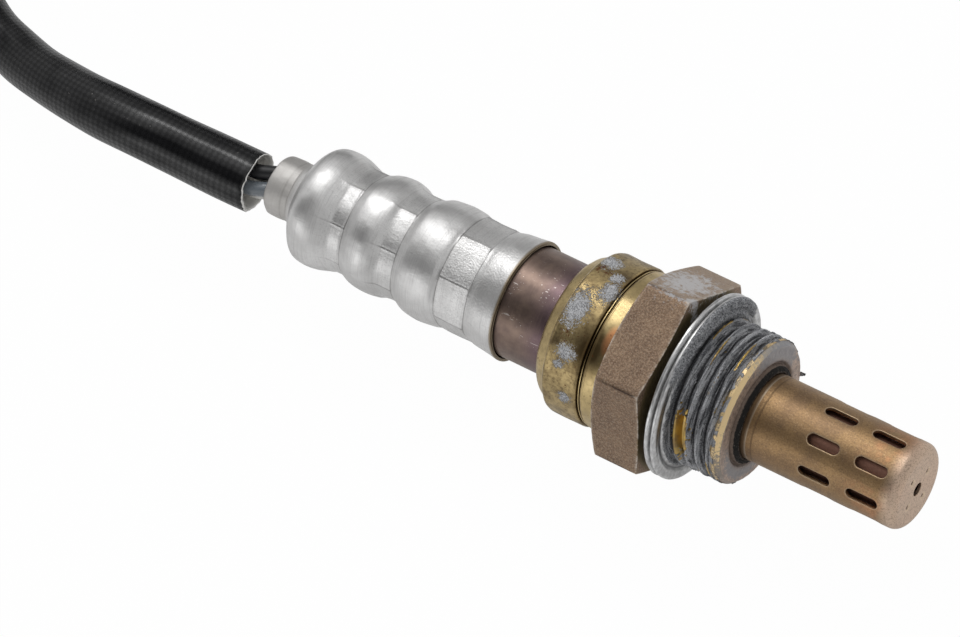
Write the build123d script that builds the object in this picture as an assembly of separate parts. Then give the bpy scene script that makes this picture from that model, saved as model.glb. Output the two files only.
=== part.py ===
"""Heated four-wire oxygen sensor for an exhaust pipe, with its lead and plug.

Millimetres. The sensor's axis is X, with the tip towards +X and +Z up. The origin is on the
axis, at the face of the crush gasket that seals against the exhaust boss.
"""
import os
from math import cos, radians, sin, tan

from build123d import *

# ---- driving dimensions -------------------------------------------------------------------
FIT = 0.05                 # running gap left between pieces that slide into each other

THREAD_RADIUS = 9.0        # M18 x 1.5 over its crests
THREAD_END = 6.5           # where the thread's end chamfer begins
SHELL_NOSE = 7.1           # end face of the shell
NECK_RADIUS = 8.1          # plain neck that carries the gasket
HEX_ACROSS_FLATS = 22.0
HEX_FRONT, HEX_REAR = -2.5, -9.0
HEX_CORNER_RADIUS = HEX_ACROSS_FLATS / 2 / cos(radians(30))
FLANGE_RADIUS, FLANGE_REAR = 9.9, -11.3
COLLAR_RADIUS, COLLAR_FRONT, COLLAR_REAR = 10.1, -11.8, -16.3
LIP_RADIUS, LIP_REAR = 7.8, -18.5
SHELL_BORE, SHELL_BORE_FRONT = 8.2, -5.0
SEAT_BORE, SEAT_X = 6.6, 3.0

GASKET_RADIUS, GASKET_THICK, GASKET_SHEET = 11.5, 1.6, 0.5
GASKET_FACE = 9.2          # the sealing face starts outside the thread

TUBE_RADIUS, TUBE_WALL, TUBE_TIP = 5.35, 0.45, 28.3
TUBE_CORNER = 1.2
SLOT_LENGTH, SLOT_WIDTH, SLOTS_AROUND = 4.2, 1.37, 8
SLOT_ROWS = (17.6, 24.0)
SLOT_PHASE = 9.0           # turn of the slots from +Z, degrees
INNER_TUBE_RADIUS, INNER_TUBE_TIP = 4.35, 27.2
PLATE = 0.6                # flanges and washers in the shell's stack

ELEMENT_TIP, ELEMENT_REAR = 22.5, -20.0
ELEMENT_RADIUS, ELEMENT_BODY, ELEMENT_COLLAR = 2.7, 4.4, 6.4
HEATER_RADIUS = 1.45

SLEEVE_RADIUS, SLEEVE_WALL, SLEEVE_REAR = 7.0, 0.45, -36.0
SLEEVE_NECKED = 6.15       # the inner sleeve where the outer one is crimped over it

COVER_WALL = 0.42
JAWS = 8                   # jaws of the crimping tool
JAW_FLAT = 0.955           # how deep its flats cut, as a share of the band's radius
BANDS = ((-49.0, -47.6, 6.40), (-42.0, -40.1, 6.58), (-33.6, -29.6, 6.93))
NECK_END, NECK_FRONT, COVER_NECK = -60.3, -57.2, 3.9

WIRE_RADIUS, WIRE_CIRCLE, WIRE_PHASE = 0.9, 1.5, 54.5
WIRE_NAMES = ("black", "grey", "white_a", "white_b")
WIRE_ANGLES = [WIRE_PHASE + 90 * place for place in (0, 1, 3, 2)]

LEAD_RADIUS = 3.0
MOUTH_X, MOUTH_RADIUS, MOUTH_WALL, MOUTH_DEPTH, MOUTH_DROP = -63.2, 3.65, 0.5, 5.0, -0.95
FLOOR = -GASKET_RADIUS     # the sensor lies on its gasket's rim

MOUTH_END = -75.0          # where the flared mouth has narrowed to the lead's own size
COIL_CENTRE, COIL_RADIUS = (-95.5, 59.0), 31.0
TIE_ANGLE, TIE_THICK = 20.0, 0.8

PLUG_AT, PLUG_Z, PLUG_TURN = (-48.6, 81.6), -4.0, 0.0
HOUSING_BACK, HOUSING_LONG, HOUSING_WIDE, HOUSING_TALL = 13.0, 27.0, 19.0, 15.0
PIN_PITCH, CAVITY, SEAL_THICK = 5.6, 3.2, 1.5
LOCK_DEEP, LOCK_WIDE, LOCK_TALL = 2.5, 12.4, 10.6


# ---- helpers ------------------------------------------------------------------------------
def turned(*outline):
    """A ring or shaft turned about the X axis from its (x, radius) outline."""
    return revolve(make_face(Polyline(*outline, close=True)), Axis.X)


def rod(start, end, radius, y=0.0, z=0.0):
    """A round bar along X."""
    return Plane((start, y, z), z_dir=(1, 0, 0)) * extrude(Circle(radius), end - start)


def on_circle(angle, radius):
    """The y and z of a place round the sensor's axis, its angle measured from +Y to +Z."""
    return radius * cos(radians(angle)), radius * sin(radians(angle))


def write(solid, name):
    """Keep a sub-part as a STEP file of its own."""
    solid.label = name
    export_step(solid, f"parts/{name}.step")


# ---- shell and gasket ---------------------------------------------------------------------
def hex_shell():
    """Turned and rolled steel body: thread, wrench hexagon and the lip crimped over the stack."""
    lip = ThreePointArc((LIP_REAR, LIP_RADIUS), (-17.75, 9.15), (COLLAR_REAR, COLLAR_RADIUS))
    outside = Polyline(
        lip @ 1, (COLLAR_FRONT, COLLAR_RADIUS), (COLLAR_FRONT, 9.6), (FLANGE_REAR, 9.6),
        (FLANGE_REAR, FLANGE_RADIUS), (HEX_FRONT - 0.5, FLANGE_RADIUS), (HEX_FRONT - 0.5, NECK_RADIUS),
        (0.0, NECK_RADIUS), (0.0, THREAD_RADIUS), (THREAD_END, THREAD_RADIUS), (SHELL_NOSE, 8.5),
        (SHELL_NOSE, 6.7), (SHELL_NOSE - 0.4, 6.3), (SHELL_NOSE + 0.3, 6.1), (SHELL_NOSE + 0.8, 5.7),
        (SHELL_NOSE + 0.8, TUBE_RADIUS + FIT), (SEAT_X, TUBE_RADIUS + FIT), (SEAT_X, SEAT_BORE),
        (SHELL_BORE_FRONT + 1.4, SEAT_BORE), (SHELL_BORE_FRONT, SHELL_BORE), (-17.6, SHELL_BORE),
        (-17.6, SLEEVE_RADIUS + FIT), (LIP_REAR, SLEEVE_RADIUS + FIT), lip @ 0)
    body = revolve(make_face(lip + outside), Axis.X)
    hexagon = Plane((HEX_REAR, 0, 0), x_dir=(0, 1, 0), z_dir=(1, 0, 0)) * extrude(
        RegularPolygon(HEX_CORNER_RADIUS, 6), HEX_FRONT - HEX_REAR)
    rear_chamfer, front_chamfer = 0.57, 0.29
    flat = HEX_ACROSS_FLATS / 2
    turned_blank = turned(
        (HEX_REAR, FLANGE_RADIUS - 0.5), (HEX_REAR, flat), (HEX_REAR + rear_chamfer, HEX_CORNER_RADIUS),
        (HEX_FRONT - front_chamfer, HEX_CORNER_RADIUS), (HEX_FRONT, flat), (HEX_FRONT, NECK_RADIUS),
        (HEX_FRONT - 0.5, NECK_RADIUS), (HEX_FRONT - 0.5, FLANGE_RADIUS - 0.5))
    return body + (hexagon & turned_blank)


def seal_gasket():
    """Crush gasket folded from one strip of sheet, open at its rim, captive on the shell's neck."""
    inner, sheet, thick = NECK_RADIUS + FIT, GASKET_SHEET, GASKET_THICK
    curl = GASKET_RADIUS - 0.45
    return turned(
        (0.0, GASKET_FACE), (-0.35, inner + 0.2), (-0.7, inner), (-thick + 0.3, inner), (-thick, inner + 0.3),
        (-thick, curl), (-thick + 0.2, GASKET_RADIUS), (-thick + 0.55, GASKET_RADIUS), (-thick + 0.75, curl),
        (-thick + sheet, curl - 0.3), (-thick + sheet, inner + sheet), (-0.8, inner + sheet),
        (-sheet, GASKET_FACE - 0.1), (-sheet, curl - 0.3), (-0.75, curl), (-0.55, GASKET_RADIUS),
        (-0.2, GASKET_RADIUS), (0.0, curl))


# ---- sensing end --------------------------------------------------------------------------
def outer_protection_tube():
    """Deep-drawn heat-resisting steel cap, flanged in the shell and pierced with slots."""
    skin = turned(
        (SEAT_X, 0), (SEAT_X, SEAT_BORE - FIT), (SEAT_X - PLATE, SEAT_BORE - FIT), (SEAT_X - PLATE, 0))
    skin += rod(SEAT_X - PLATE, TUBE_TIP, TUBE_RADIUS)
    rim = skin.edges().filter_by(GeomType.CIRCLE).sort_by(Axis.X)[-1]
    skin = fillet(rim, TUBE_CORNER)
    room = rod(SEAT_X - PLATE, TUBE_TIP - TUBE_WALL, TUBE_RADIUS - TUBE_WALL)
    room = fillet(room.edges().filter_by(GeomType.CIRCLE).sort_by(Axis.X)[-1], TUBE_CORNER - TUBE_WALL)
    tube = skin - room - rod(TUBE_TIP - 1, TUBE_TIP + 1, 0.85)
    slot = extrude(SlotOverall(SLOT_LENGTH, SLOT_WIDTH), TUBE_RADIUS + 1)
    for row in SLOT_ROWS:
        for place in range(SLOTS_AROUND):
            turn = SLOT_PHASE + place * 360 / SLOTS_AROUND
            tube -= Rot(turn, 0, 0) * Pos(row, 0, 0) * slot
    for place in range(4):
        y, z = on_circle(90 * place, 2.4)
        tube -= Pos(TUBE_TIP + 0.25, y, z) * Sphere(0.5)
    return tube


def inner_protection_tube():
    """Second drawn cap between the slots and the ceramic, with its gas holes near the root."""
    flange_front = SEAT_X - PLATE
    cap = turned(
        (flange_front, 0), (flange_front, SEAT_BORE - FIT), (flange_front - PLATE, SEAT_BORE - FIT),
        (flange_front - PLATE, 0)) + rod(flange_front - PLATE, INNER_TUBE_TIP, INNER_TUBE_RADIUS)
    cap = fillet(cap.edges().filter_by(GeomType.CIRCLE).sort_by(Axis.X)[-1], 0.9)
    cap -= rod(flange_front - PLATE, INNER_TUBE_TIP - TUBE_WALL, INNER_TUBE_RADIUS - TUBE_WALL)
    cap -= rod(INNER_TUBE_TIP - 1, INNER_TUBE_TIP + 1, 0.7)
    for place in range(6):
        cap -= Rot(60 * place, 0, 0) * Pos(12.0, 0, 0) * extrude(Circle(0.7), INNER_TUBE_RADIUS + 1)
    return cap


def zirconia_element():
    """Thimble of zirconia ceramic: closed round tip, seat collar and open rear end."""
    collar_front = SEAT_X - 3 * PLATE
    tip = ThreePointArc(
        (ELEMENT_TIP - ELEMENT_RADIUS, ELEMENT_RADIUS),
        (ELEMENT_TIP - ELEMENT_RADIUS * (1 - cos(radians(45))), ELEMENT_RADIUS * sin(radians(45))),
        (ELEMENT_TIP, 0))
    outside = Polyline(
        tip @ 0, (collar_front, 3.3), (collar_front, ELEMENT_COLLAR), (-4.0, ELEMENT_COLLAR),
        (-5.4, ELEMENT_BODY), (ELEMENT_REAR, ELEMENT_BODY), (ELEMENT_REAR, 2.85), (-12.5, 2.85),
        (-11.4, 1.75), (ELEMENT_TIP - 2.0, 1.75), (ELEMENT_TIP - 1.2, 0), tip @ 1)
    return revolve(make_face(tip + outside), Axis.X)


def stack():
    """The ring-shaped pieces that seal the ceramic into the shell, front to rear."""
    collar_front = SEAT_X - 3 * PLATE
    bore, body = SHELL_BORE - FIT, ELEMENT_BODY + FIT
    bush_front, bush_rear, washer_rear = -12.0, -16.0, -17.0
    return {
        "packing_washer": turned(
            (collar_front, 4.4), (collar_front, SEAT_BORE - FIT), (collar_front + PLATE, SEAT_BORE - FIT),
            (collar_front + PLATE, 4.4)),
        "talc_ring": turned(
            (-5.5, body), (-4.1, ELEMENT_COLLAR + FIT), (-4.1, 7.0), (SHELL_BORE_FRONT - FIT, bore),
            (bush_front, bore), (bush_front, body)),
        "ceramic_bush": turned(
            (bush_front, body), (bush_front, bore), (bush_rear + 0.5, bore), (bush_rear, bore - 0.5),
            (bush_rear, body + 0.5), (bush_rear + 0.5, body)),
        "crimp_washer": turned(
            (bush_rear, 6.2), (bush_rear, bore - 0.5), (bush_rear - 0.4, bore), (washer_rear, bore),
            (washer_rear, 6.2)),
    }


def heater_rod():
    """Alumina rod heater that stands in the thimble."""
    bar = rod(-31.0, ELEMENT_TIP - 3.0, HEATER_RADIUS)
    return chamfer(bar.edges().filter_by(GeomType.CIRCLE), 0.3)


def signal_contact():
    """Sprung cup that touches the inside of the thimble and grips the heater."""
    rear, wall = ELEMENT_REAR - 0.4, 0.3
    cup = turned(
        (rear, HEATER_RADIUS + FIT), (rear, 2.8), (-13.2, 2.8), (-13.2, 2.8 - wall), (rear + wall, 2.8 - wall),
        (rear + wall, HEATER_RADIUS + FIT))
    slit = Pos(-15.5, 0, 0) * Box(5.0, 0.6, 8.0)
    return cup - slit


def ground_contact():
    """Spring cap round the outside of the thimble, with the arm that reaches its terminal."""
    wall, rear = 0.3, -22.3
    inner = ELEMENT_BODY + FIT
    cap = turned(
        (rear, 3.3), (rear, inner + wall), (-16.4, inner + wall), (-16.4, inner), (rear + wall, inner), (rear + wall, 3.3))
    arm = Rot(WIRE_ANGLES[1], 0, 0) * Pos(rear + wall / 2, 2.6, 0) * Box(wall, 1.6, 1.2)
    return cap + arm


# ---- rear end -----------------------------------------------------------------------------
def inner_sleeve():
    """Drawn stainless sleeve, flanged under the shell's lip and necked where it is crimped."""
    flange_front, flange_rear = -17.0, -17.6
    outer, wall, necked = SLEEVE_RADIUS, SLEEVE_WALL, SLEEVE_NECKED
    return turned(
        (flange_front, outer - wall), (flange_front, SHELL_BORE - FIT), (flange_rear, SHELL_BORE - FIT),
        (flange_rear, outer), (-26.0, outer), (-28.9, necked), (SLEEVE_REAR, necked),
        (SLEEVE_REAR, necked - wall), (-28.8, necked - wall), (-25.9, outer - wall))


def outer_sleeve():
    """Stainless cover with three crimped waists, a belled mouth and a small neck for the wires."""
    (waist_1, waist_1_end, r_1), (waist_2, waist_2_end, r_2), (band, band_end, r_3) = BANDS

    def line(wall, pinch):
        """The cover's line: wall is how far inside the skin it lies, pinch how far in at a band."""
        neck, cone, shoulder = COVER_NECK - wall, 4.45 - wall, -55.75 + wall
        return [
            Polyline((NECK_END, neck), (NECK_FRONT, neck), (NECK_FRONT + 0.1, neck + 0.15), (shoulder - 0.2, cone),
                     (shoulder, cone - 0.1)),
            Spline((shoulder, cone - 0.1), (shoulder + 0.5, 6.1 - wall), (-54.3 + wall / 2, 7.1 - wall),
                   (-53.0, 7.38 - wall), (-50.6, 6.98 - wall), (waist_1, r_1 - pinch), tangents=((0.1, 1), (1, -0.2))),
            Line((waist_1, r_1 - pinch), (waist_1_end, r_1 - pinch)),
            Spline((waist_1_end, r_1 - pinch), (-46.4, 7.02 - wall), (-44.7, 7.30 - wall), (-42.9, 7.08 - wall),
                   (waist_2, r_2 - pinch)),
            Line((waist_2, r_2 - pinch), (waist_2_end, r_2 - pinch)),
            Spline((waist_2_end, r_2 - pinch), (-38.6, 7.18 - wall), (-36.5, 7.39 - wall), (-34.5, 7.2 - wall),
                   (band, r_3 - pinch)),
            Line((band, r_3 - pinch), (band_end, r_3 - pinch)),
            Spline((band_end, r_3 - pinch), (-28.7, 7.18 - wall), (-27.0, 7.38 - wall), (-25.3, 7.58 - wall)),
        ]

    skin, inside = line(0.0, 0.0), line(COVER_WALL, COVER_WALL + r_1 * (1 - JAW_FLAT))
    ends = [Line(skin[0] @ 0, inside[0] @ 0), Line(skin[-1] @ 1, inside[-1] @ 1)]
    cover = revolve(make_face(skin + inside + ends), Axis.X)
    for start, end, radius in BANDS:
        jaws = Plane((start, 0, 0), x_dir=(0, cos(radians(22.5)), sin(radians(22.5))), z_dir=(1, 0, 0)) * extrude(
            Circle(radius + 1) - RegularPolygon(radius * JAW_FLAT, JAWS, major_radius=False), end - start)
        cover -= jaws
    return cover


def ceramic_separator():
    """Steatite block that keeps the four terminals apart."""
    front, rear, radius = -31.2, -44.0, 5.55
    block = turned((rear, 0), (rear, radius), (front - 0.6, radius), (front, radius - 0.6), (front, 0))
    for angle in WIRE_ANGLES:
        y, z = on_circle(angle, WIRE_CIRCLE)
        block -= rod(rear - 1, front + 1, 0.95, y, z)
    return block


def spring_ring():
    """Split spring band that centres the separator in the cover."""
    ring = turned((-42.0, 5.6), (-42.0, 5.8), (-38.0, 5.8), (-38.0, 5.6))
    return ring - Pos(-40, 0, -6) * Box(6, 1.4, 3)


def cable_grommet():
    """Heat-proof rubber plug that the cover's rear waist squeezes round the four wires."""
    front, rear = -44.6, NECK_END + 0.3
    plug = turned(
        (rear, 0), (rear, COVER_NECK - COVER_WALL - FIT), (-55.0, COVER_NECK - COVER_WALL - FIT), (-54.4, 5.2),
        (-53.4, 5.65), (front, 5.65), (front, 0))
    for angle in WIRE_ANGLES:
        y, z = on_circle(angle, WIRE_CIRCLE)
        plug -= rod(rear - 1, front + 1, WIRE_RADIUS + 0.02, y, z)
    return plug


def terminal(angle, reach):
    """Sheet terminal: a barrel crimped on the wire and a blade that runs along the heater."""
    y, z = on_circle(angle, WIRE_CIRCLE)
    barrel = rod(-43.0, -35.0, 0.85, y, z)
    middle = HEATER_RADIUS + 0.17
    blade = Rot(angle, 0, 0) * Pos((reach - 35.2) / 2, middle, 0) * Box(reach + 35.2, 0.3, 1.1)
    return barrel + blade


def wire(angle):
    """Insulated wire from its terminal, through the grommet and the gap, into the braid."""
    y, z = on_circle(angle, WIRE_CIRCLE)
    bottom = MOUTH_X - MOUTH_DEPTH
    points = [(-43.0, y, z), (NECK_END - 0.2, y, z), (MOUTH_X, y + MOUTH_DROP, z), (bottom, y + MOUTH_DROP, z)]
    path = FilletPolyline(*points, radius=[2.0, 2.0])
    return sweep(Plane(points[0], z_dir=(-1, 0, 0)) * Circle(WIRE_RADIUS), path)


# ---- lead ---------------------------------------------------------------------------------
def arc_radii(points):
    """The largest tangent arc that each corner's two runs leave room for."""
    radii = []
    for before, corner, after in zip(points, points[1:], points[2:]):
        arriving, leaving = Vector(corner) - Vector(before), Vector(after) - Vector(corner)
        shorter = min(arriving.length, leaving.length)
        radii.append(0.45 * shorter / tan(radians(arriving.get_angle(leaving) / 2)))
    return radii


def round_lead(points, name):
    """A plain round tube along straight runs joined by tangent arcs."""
    radii = arc_radii(points)
    path = FilletPolyline(*points, radius=radii)
    start = Vector(points[1]) - Vector(points[0])
    lead = sweep(Plane(points[0], z_dir=start) * Circle(LEAD_RADIUS), path)
    print(f"{name}: length {path.length:.1f}, radii {[round(radius, 1) for radius in radii]},",
          f"volume {lead.volume:.1f} of {Circle(LEAD_RADIUS).area * path.length:.1f}")
    return lead


LEAD_ROUTE = [
    (MOUTH_END, MOUTH_DROP, 0.0),
    (-81.5, MOUTH_DROP, 0.0),
    (-89.0, -0.75, -1.7),
    (-97.0, 0.2, -4.2),
    (-105.2, 2.0, -6.6),
    (-114.2, 6.4, -8.3),
    (-121.6, 13.1, -8.5),
    (-126.6, 22.6, -8.5),
    (-129.2, 35.0, -8.5),
    (-129.4, 44.4, -8.5),
]
TAIL_END = 9.0             # straight end of the tail, in line with the plug
TAIL_ROUTE = [
    (-75.6, 82.7, -4.7),
    (-66.3, 81.9, -4.4),
    (PLUG_AT[0] - TAIL_END * cos(radians(PLUG_TURN)), PLUG_AT[1] - TAIL_END * sin(radians(PLUG_TURN)), PLUG_Z),
    (*PLUG_AT, PLUG_Z),
]


def braided_lead(coil):
    """Varnished glass-fibre sleeve: cut open mouth with a hollow end, then on to the coil."""
    bottom, axis_y = MOUTH_X - MOUTH_DEPTH, MOUTH_DROP
    mouth = turned(
        (MOUTH_X, MOUTH_RADIUS), (bottom, MOUTH_RADIUS), (MOUTH_END, LEAD_RADIUS), (MOUTH_END, 0), (bottom, 0),
        (bottom, MOUTH_RADIUS - MOUTH_WALL), (MOUTH_X, MOUTH_RADIUS - MOUTH_WALL))
    return Pos(0, axis_y, 0) * mouth + (round_lead(LEAD_ROUTE, "braided_lead") - coil)


def coil_section():
    """Outline round three turns: two side by side on the floor and one in the dip between."""
    low, high = FLOOR + LEAD_RADIUS, FLOOR + LEAD_RADIUS * (1 + 3 ** 0.5)
    places = ((COIL_RADIUS - LEAD_RADIUS, low), (COIL_RADIUS + LEAD_RADIUS, low), (COIL_RADIUS, high))
    strands = [Pos(*place) * Circle(LEAD_RADIUS) for place in places]
    return make_hull([strand.edge() for strand in strands])


def coil_tie():
    """Nylon tie round the turns, with its square head on top and its cut tail."""
    section = coil_section()
    above_floor = Pos(COIL_RADIUS, FLOOR + 20) * Rectangle(40, 40)
    inside_loop = section & (Pos(0, TIE_THICK) * above_floor)
    band = (offset(section, TIE_THICK) & above_floor) - inside_loop
    width = 3.0
    sweep_angle = width / COIL_RADIUS * 57.3
    loop = Rot(0, 0, TIE_ANGLE - sweep_angle / 2) * revolve(Plane.XZ * band, Axis.Z, revolution_arc=sweep_angle)
    top = FLOOR + LEAD_RADIUS * (2 + 3 ** 0.5) + TIE_THICK
    head = Pos(COIL_RADIUS - 0.4, 0, top + 1.2) * Box(5.0, 4.4, 3.0)
    head = chamfer(head.edges().filter_by(Axis.Z), 0.5)
    tail = Pos(COIL_RADIUS + 5.0, 0, top + 1.1) * Box(8.0, 2.4, 1.0)
    return Pos(*COIL_CENTRE, 0) * (loop + Rot(0, 0, TIE_ANGLE) * (head + tail))


def lead_coil(tie):
    """The coiled lead's outer shape, pinched where the tie goes round it."""
    return Pos(*COIL_CENTRE, 0) * revolve(Plane.XZ * coil_section(), Axis.Z) - tie


# ---- plug ---------------------------------------------------------------------------------
# The plug's own frame: x forward from the end of the lead, z up, turned and moved into place.
PLUG_PLACE = Pos(*PLUG_AT, PLUG_Z) * Rot(0, 0, PLUG_TURN)
CAVITIES = [(PIN_PITCH / 2 * side, PIN_PITCH / 2 * level) for side in (-1, 1) for level in (-1, 1)]


def plug_boot():
    """Rubber boot that takes the end of the lead and tapers out to the housing."""
    socket, back, front = 0.0, -5.0, HOUSING_BACK - SEAL_THICK
    boot = turned(
        (back, LEAD_RADIUS + FIT), (back, 4.0), (back + 1, 4.4), (3.0, 4.9), (3.0, 4.4), (4.5, 4.4), (4.5, 5.2),
        (6.5, 5.3), (6.5, 4.8), (8.0, 4.8), (8.0, 5.6), (front, 6.0), (front, 0), (socket, 0),
        (socket, LEAD_RADIUS + FIT))
    return PLUG_PLACE * boot


def plug_wire_seal():
    """Silicone mat seal clamped between the boot and the back of the housing."""
    mat = Plane((HOUSING_BACK - SEAL_THICK, 0, 0), z_dir=(1, 0, 0)) * extrude(
        RectangleRounded(15.0, 12.0, 2.5), SEAL_THICK)
    return PLUG_PLACE * mat


def plug_housing():
    """Moulded nylon housing with four cavities, guide ribs and a sprung latch on top."""
    middle = HOUSING_BACK + HOUSING_LONG / 2
    body = Pos(middle, 0, 0) * Box(HOUSING_LONG, HOUSING_WIDE, HOUSING_TALL)
    body = fillet(body.edges().filter_by(Axis.X), 1.6)
    body = chamfer(body.faces().sort_by(Axis.X)[-1].edges(), 0.6)
    rear_step = Pos(HOUSING_BACK + 2.5, 0, 0) * (Box(5, 40, 40) - Box(5, HOUSING_WIDE - 2.4, HOUSING_TALL - 2.4))
    body -= rear_step
    for side in (-1, 1):
        body += Pos(middle + 3, side * (HOUSING_WIDE / 2 + 0.3), -1.5) * Box(HOUSING_LONG - 10, 1.0, 1.8)
        body -= Pos(middle + 2, side * 6.8, HOUSING_TALL / 2) * Box(HOUSING_LONG - 12, 1.2, 1.6)
    lock_room = Pos(HOUSING_BACK + HOUSING_LONG - LOCK_DEEP / 2, 0, 0) * Box(LOCK_DEEP, LOCK_WIDE, LOCK_TALL)
    body -= lock_room
    for y, z in CAVITIES:
        body -= Pos(middle, y, z) * Box(HOUSING_LONG + 1, CAVITY, CAVITY)
    top = HOUSING_TALL / 2
    latch = make_face(Polyline(
        (HOUSING_BACK + 19, top - 0.4), (HOUSING_BACK + 21, top + 1.4), (HOUSING_BACK + 7, top + 3.6),
        (HOUSING_BACK + 2, top + 3.6), (HOUSING_BACK + 2, top + 2.4), (HOUSING_BACK + 7, top + 2.4),
        (HOUSING_BACK + 15, top + 1.0), (HOUSING_BACK + 15, top - 0.4), close=True))
    body += Plane.XZ * extrude(latch, 3.0, both=True)
    return PLUG_PLACE * body


def plug_lock():
    """Coloured plate pushed into the front of the housing to hold the terminals."""
    front = HOUSING_BACK + HOUSING_LONG
    plate = Pos(front - LOCK_DEEP / 2, 0, 0) * Box(LOCK_DEEP, LOCK_WIDE - 0.1, LOCK_TALL - 0.1)
    plate = fillet(plate.edges().filter_by(Axis.X), 0.8)
    for y, z in CAVITIES:
        plate -= Pos(front - LOCK_DEEP / 2, y, z) * Box(LOCK_DEEP + 1, CAVITY - 0.6, CAVITY - 0.6)
    return PLUG_PLACE * plate


def plug_terminal(y, z):
    """Tin-plated female terminal: a folded box with its mouth towards the mating blade."""
    front, long, side = HOUSING_BACK + HOUSING_LONG - LOCK_DEEP - 0.5, 15.0, CAVITY - 0.7
    tube = Pos(front - long / 2, y, z) * (Box(long, side, side) - Pos(2, 0, 0) * Box(long, side - 0.8, side - 1.2))
    return PLUG_PLACE * tube


if __name__ == "__main__":
    os.makedirs("parts", exist_ok=True)
    write(hex_shell(), "hex_shell")
    write(seal_gasket(), "seal_gasket")
    write(outer_protection_tube(), "outer_protection_tube")
    write(inner_protection_tube(), "inner_protection_tube")
    write(zirconia_element(), "zirconia_element")
    for name, ring in stack().items():
        write(ring, name)
    write(heater_rod(), "heater_rod")
    write(signal_contact(), "signal_contact")
    write(ground_contact(), "ground_contact")
    write(inner_sleeve(), "inner_sleeve")
    write(outer_sleeve(), "outer_sleeve")
    write(ceramic_separator(), "ceramic_separator")
    write(spring_ring(), "spring_ring")
    write(cable_grommet(), "cable_grommet")
    for name, angle, reach in zip(WIRE_NAMES, WIRE_ANGLES, (-20.5, -22.4, -25.0, -25.0)):
        write(terminal(angle, reach), f"terminal_{name}")
        write(wire(angle), f"wire_{name}")
    tie = coil_tie()
    coil = lead_coil(tie)
    write(tie, "coil_tie")
    write(coil, "lead_coil")
    write(braided_lead(coil), "braided_lead")
    tail = round_lead(TAIL_ROUTE, "lead_tail") - coil
    write(tail.solids().sort_by(SortBy.VOLUME)[-1], "lead_tail")
    write(plug_boot(), "plug_boot")
    write(plug_wire_seal(), "plug_wire_seal")
    write(plug_housing(), "plug_housing")
    write(plug_lock(), "plug_lock")
    for number, (y, z) in enumerate(CAVITIES, 1):
        write(plug_terminal(y, z), f"plug_terminal_{number}")
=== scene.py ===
from math import cos, pi, radians, sin

import bpy
import numpy as np
from mathutils import Matrix, Vector


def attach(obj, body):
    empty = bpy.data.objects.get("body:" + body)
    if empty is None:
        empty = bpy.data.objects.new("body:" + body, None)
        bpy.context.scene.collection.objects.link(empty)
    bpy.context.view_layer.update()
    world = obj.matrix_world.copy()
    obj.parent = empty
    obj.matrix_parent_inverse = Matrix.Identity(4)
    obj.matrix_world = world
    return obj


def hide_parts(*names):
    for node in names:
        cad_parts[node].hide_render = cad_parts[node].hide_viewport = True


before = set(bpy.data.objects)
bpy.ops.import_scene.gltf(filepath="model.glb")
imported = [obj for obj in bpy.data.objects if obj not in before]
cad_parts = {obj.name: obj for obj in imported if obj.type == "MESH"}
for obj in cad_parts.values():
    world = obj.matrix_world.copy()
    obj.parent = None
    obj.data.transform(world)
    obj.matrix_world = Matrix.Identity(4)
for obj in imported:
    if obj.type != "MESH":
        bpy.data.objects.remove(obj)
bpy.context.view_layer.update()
MM = 0.001


# ---- Camera, light and floor ----
# A long lens looks down on the sensor, which lies on its gasket's rim on a plain white sweep.
# One wide soft lamp and a thin bright tube stand above the far side, a weaker lamp fills the near
# side, and white card all round gives the metal something to reflect, darker above the near side.
scene = bpy.context.scene
scene.view_settings.view_transform = "Standard"

eye = bpy.data.objects.new("Camera", bpy.data.cameras.new("Camera"))
eye.location = (0.31349, -0.12426, 0.78073)
eye.rotation_euler = [radians(angle) for angle in (18.754, 16.771, 30.334)]
eye.data.lens = 277.1
eye.data.sensor_width = 36.0
eye.data.clip_start = 0.05
scene.collection.objects.link(eye)
scene.camera = eye


def soft_lamp(name, towards, length, width, power):
    """An area lamp 0.8 m along a direction from the sensor's middle, its length along the sensor."""
    lamp = bpy.data.objects.new(name, bpy.data.lights.new(name, "AREA"))
    lamp.data.shape = "RECTANGLE"
    lamp.data.size, lamp.data.size_y = length, width
    lamp.data.energy = power
    away = Vector(towards).normalized()
    lengthwise = (Vector((1.0, 0.0, 0.0)) - away * away.x).normalized()
    lamp.location = away * 0.8 + Vector((-0.02, 0.0, 0.0))
    turn = Matrix((lengthwise, away.cross(lengthwise), away)).transposed()
    lamp.rotation_mode = "QUATERNION"
    lamp.rotation_quaternion = turn.to_quaternion()
    scene.collection.objects.link(lamp)


soft_lamp("key_lamp", (-0.40, 0.46, 0.79), 0.72, 0.72, 1.1)
soft_lamp("tube_lamp", (-0.40, 0.58, 0.71), 0.50, 0.10, 1.25)
soft_lamp("fill_lamp", (-0.40, -0.86, 0.32), 0.40, 0.40, 0.6)


class Field:
    """A number or colour that changes over a surface: a node's socket with arithmetic on it."""

    def __init__(self, finish, socket):
        self.finish, self.socket = finish, socket

    def maths(self, operation, *others):
        return self.finish.node("Math", {"operation": operation}, self, *others)

    def __add__(self, other):
        return self.maths("ADD", other)

    def __sub__(self, other):
        return self.maths("SUBTRACT", other)

    def __mul__(self, other):
        return self.maths("MULTIPLY", other)

    def __rsub__(self, other):
        return self.finish.node("Math", {"operation": "SUBTRACT"}, other, self)

    __radd__, __rmul__ = __add__, __mul__

    def between(self, low, high):
        """0 below low, 1 above high and a smooth step from one to the other."""
        return self.finish.node("MapRange", {"interpolation_type": "SMOOTHSTEP"}, self, low, high)


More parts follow.
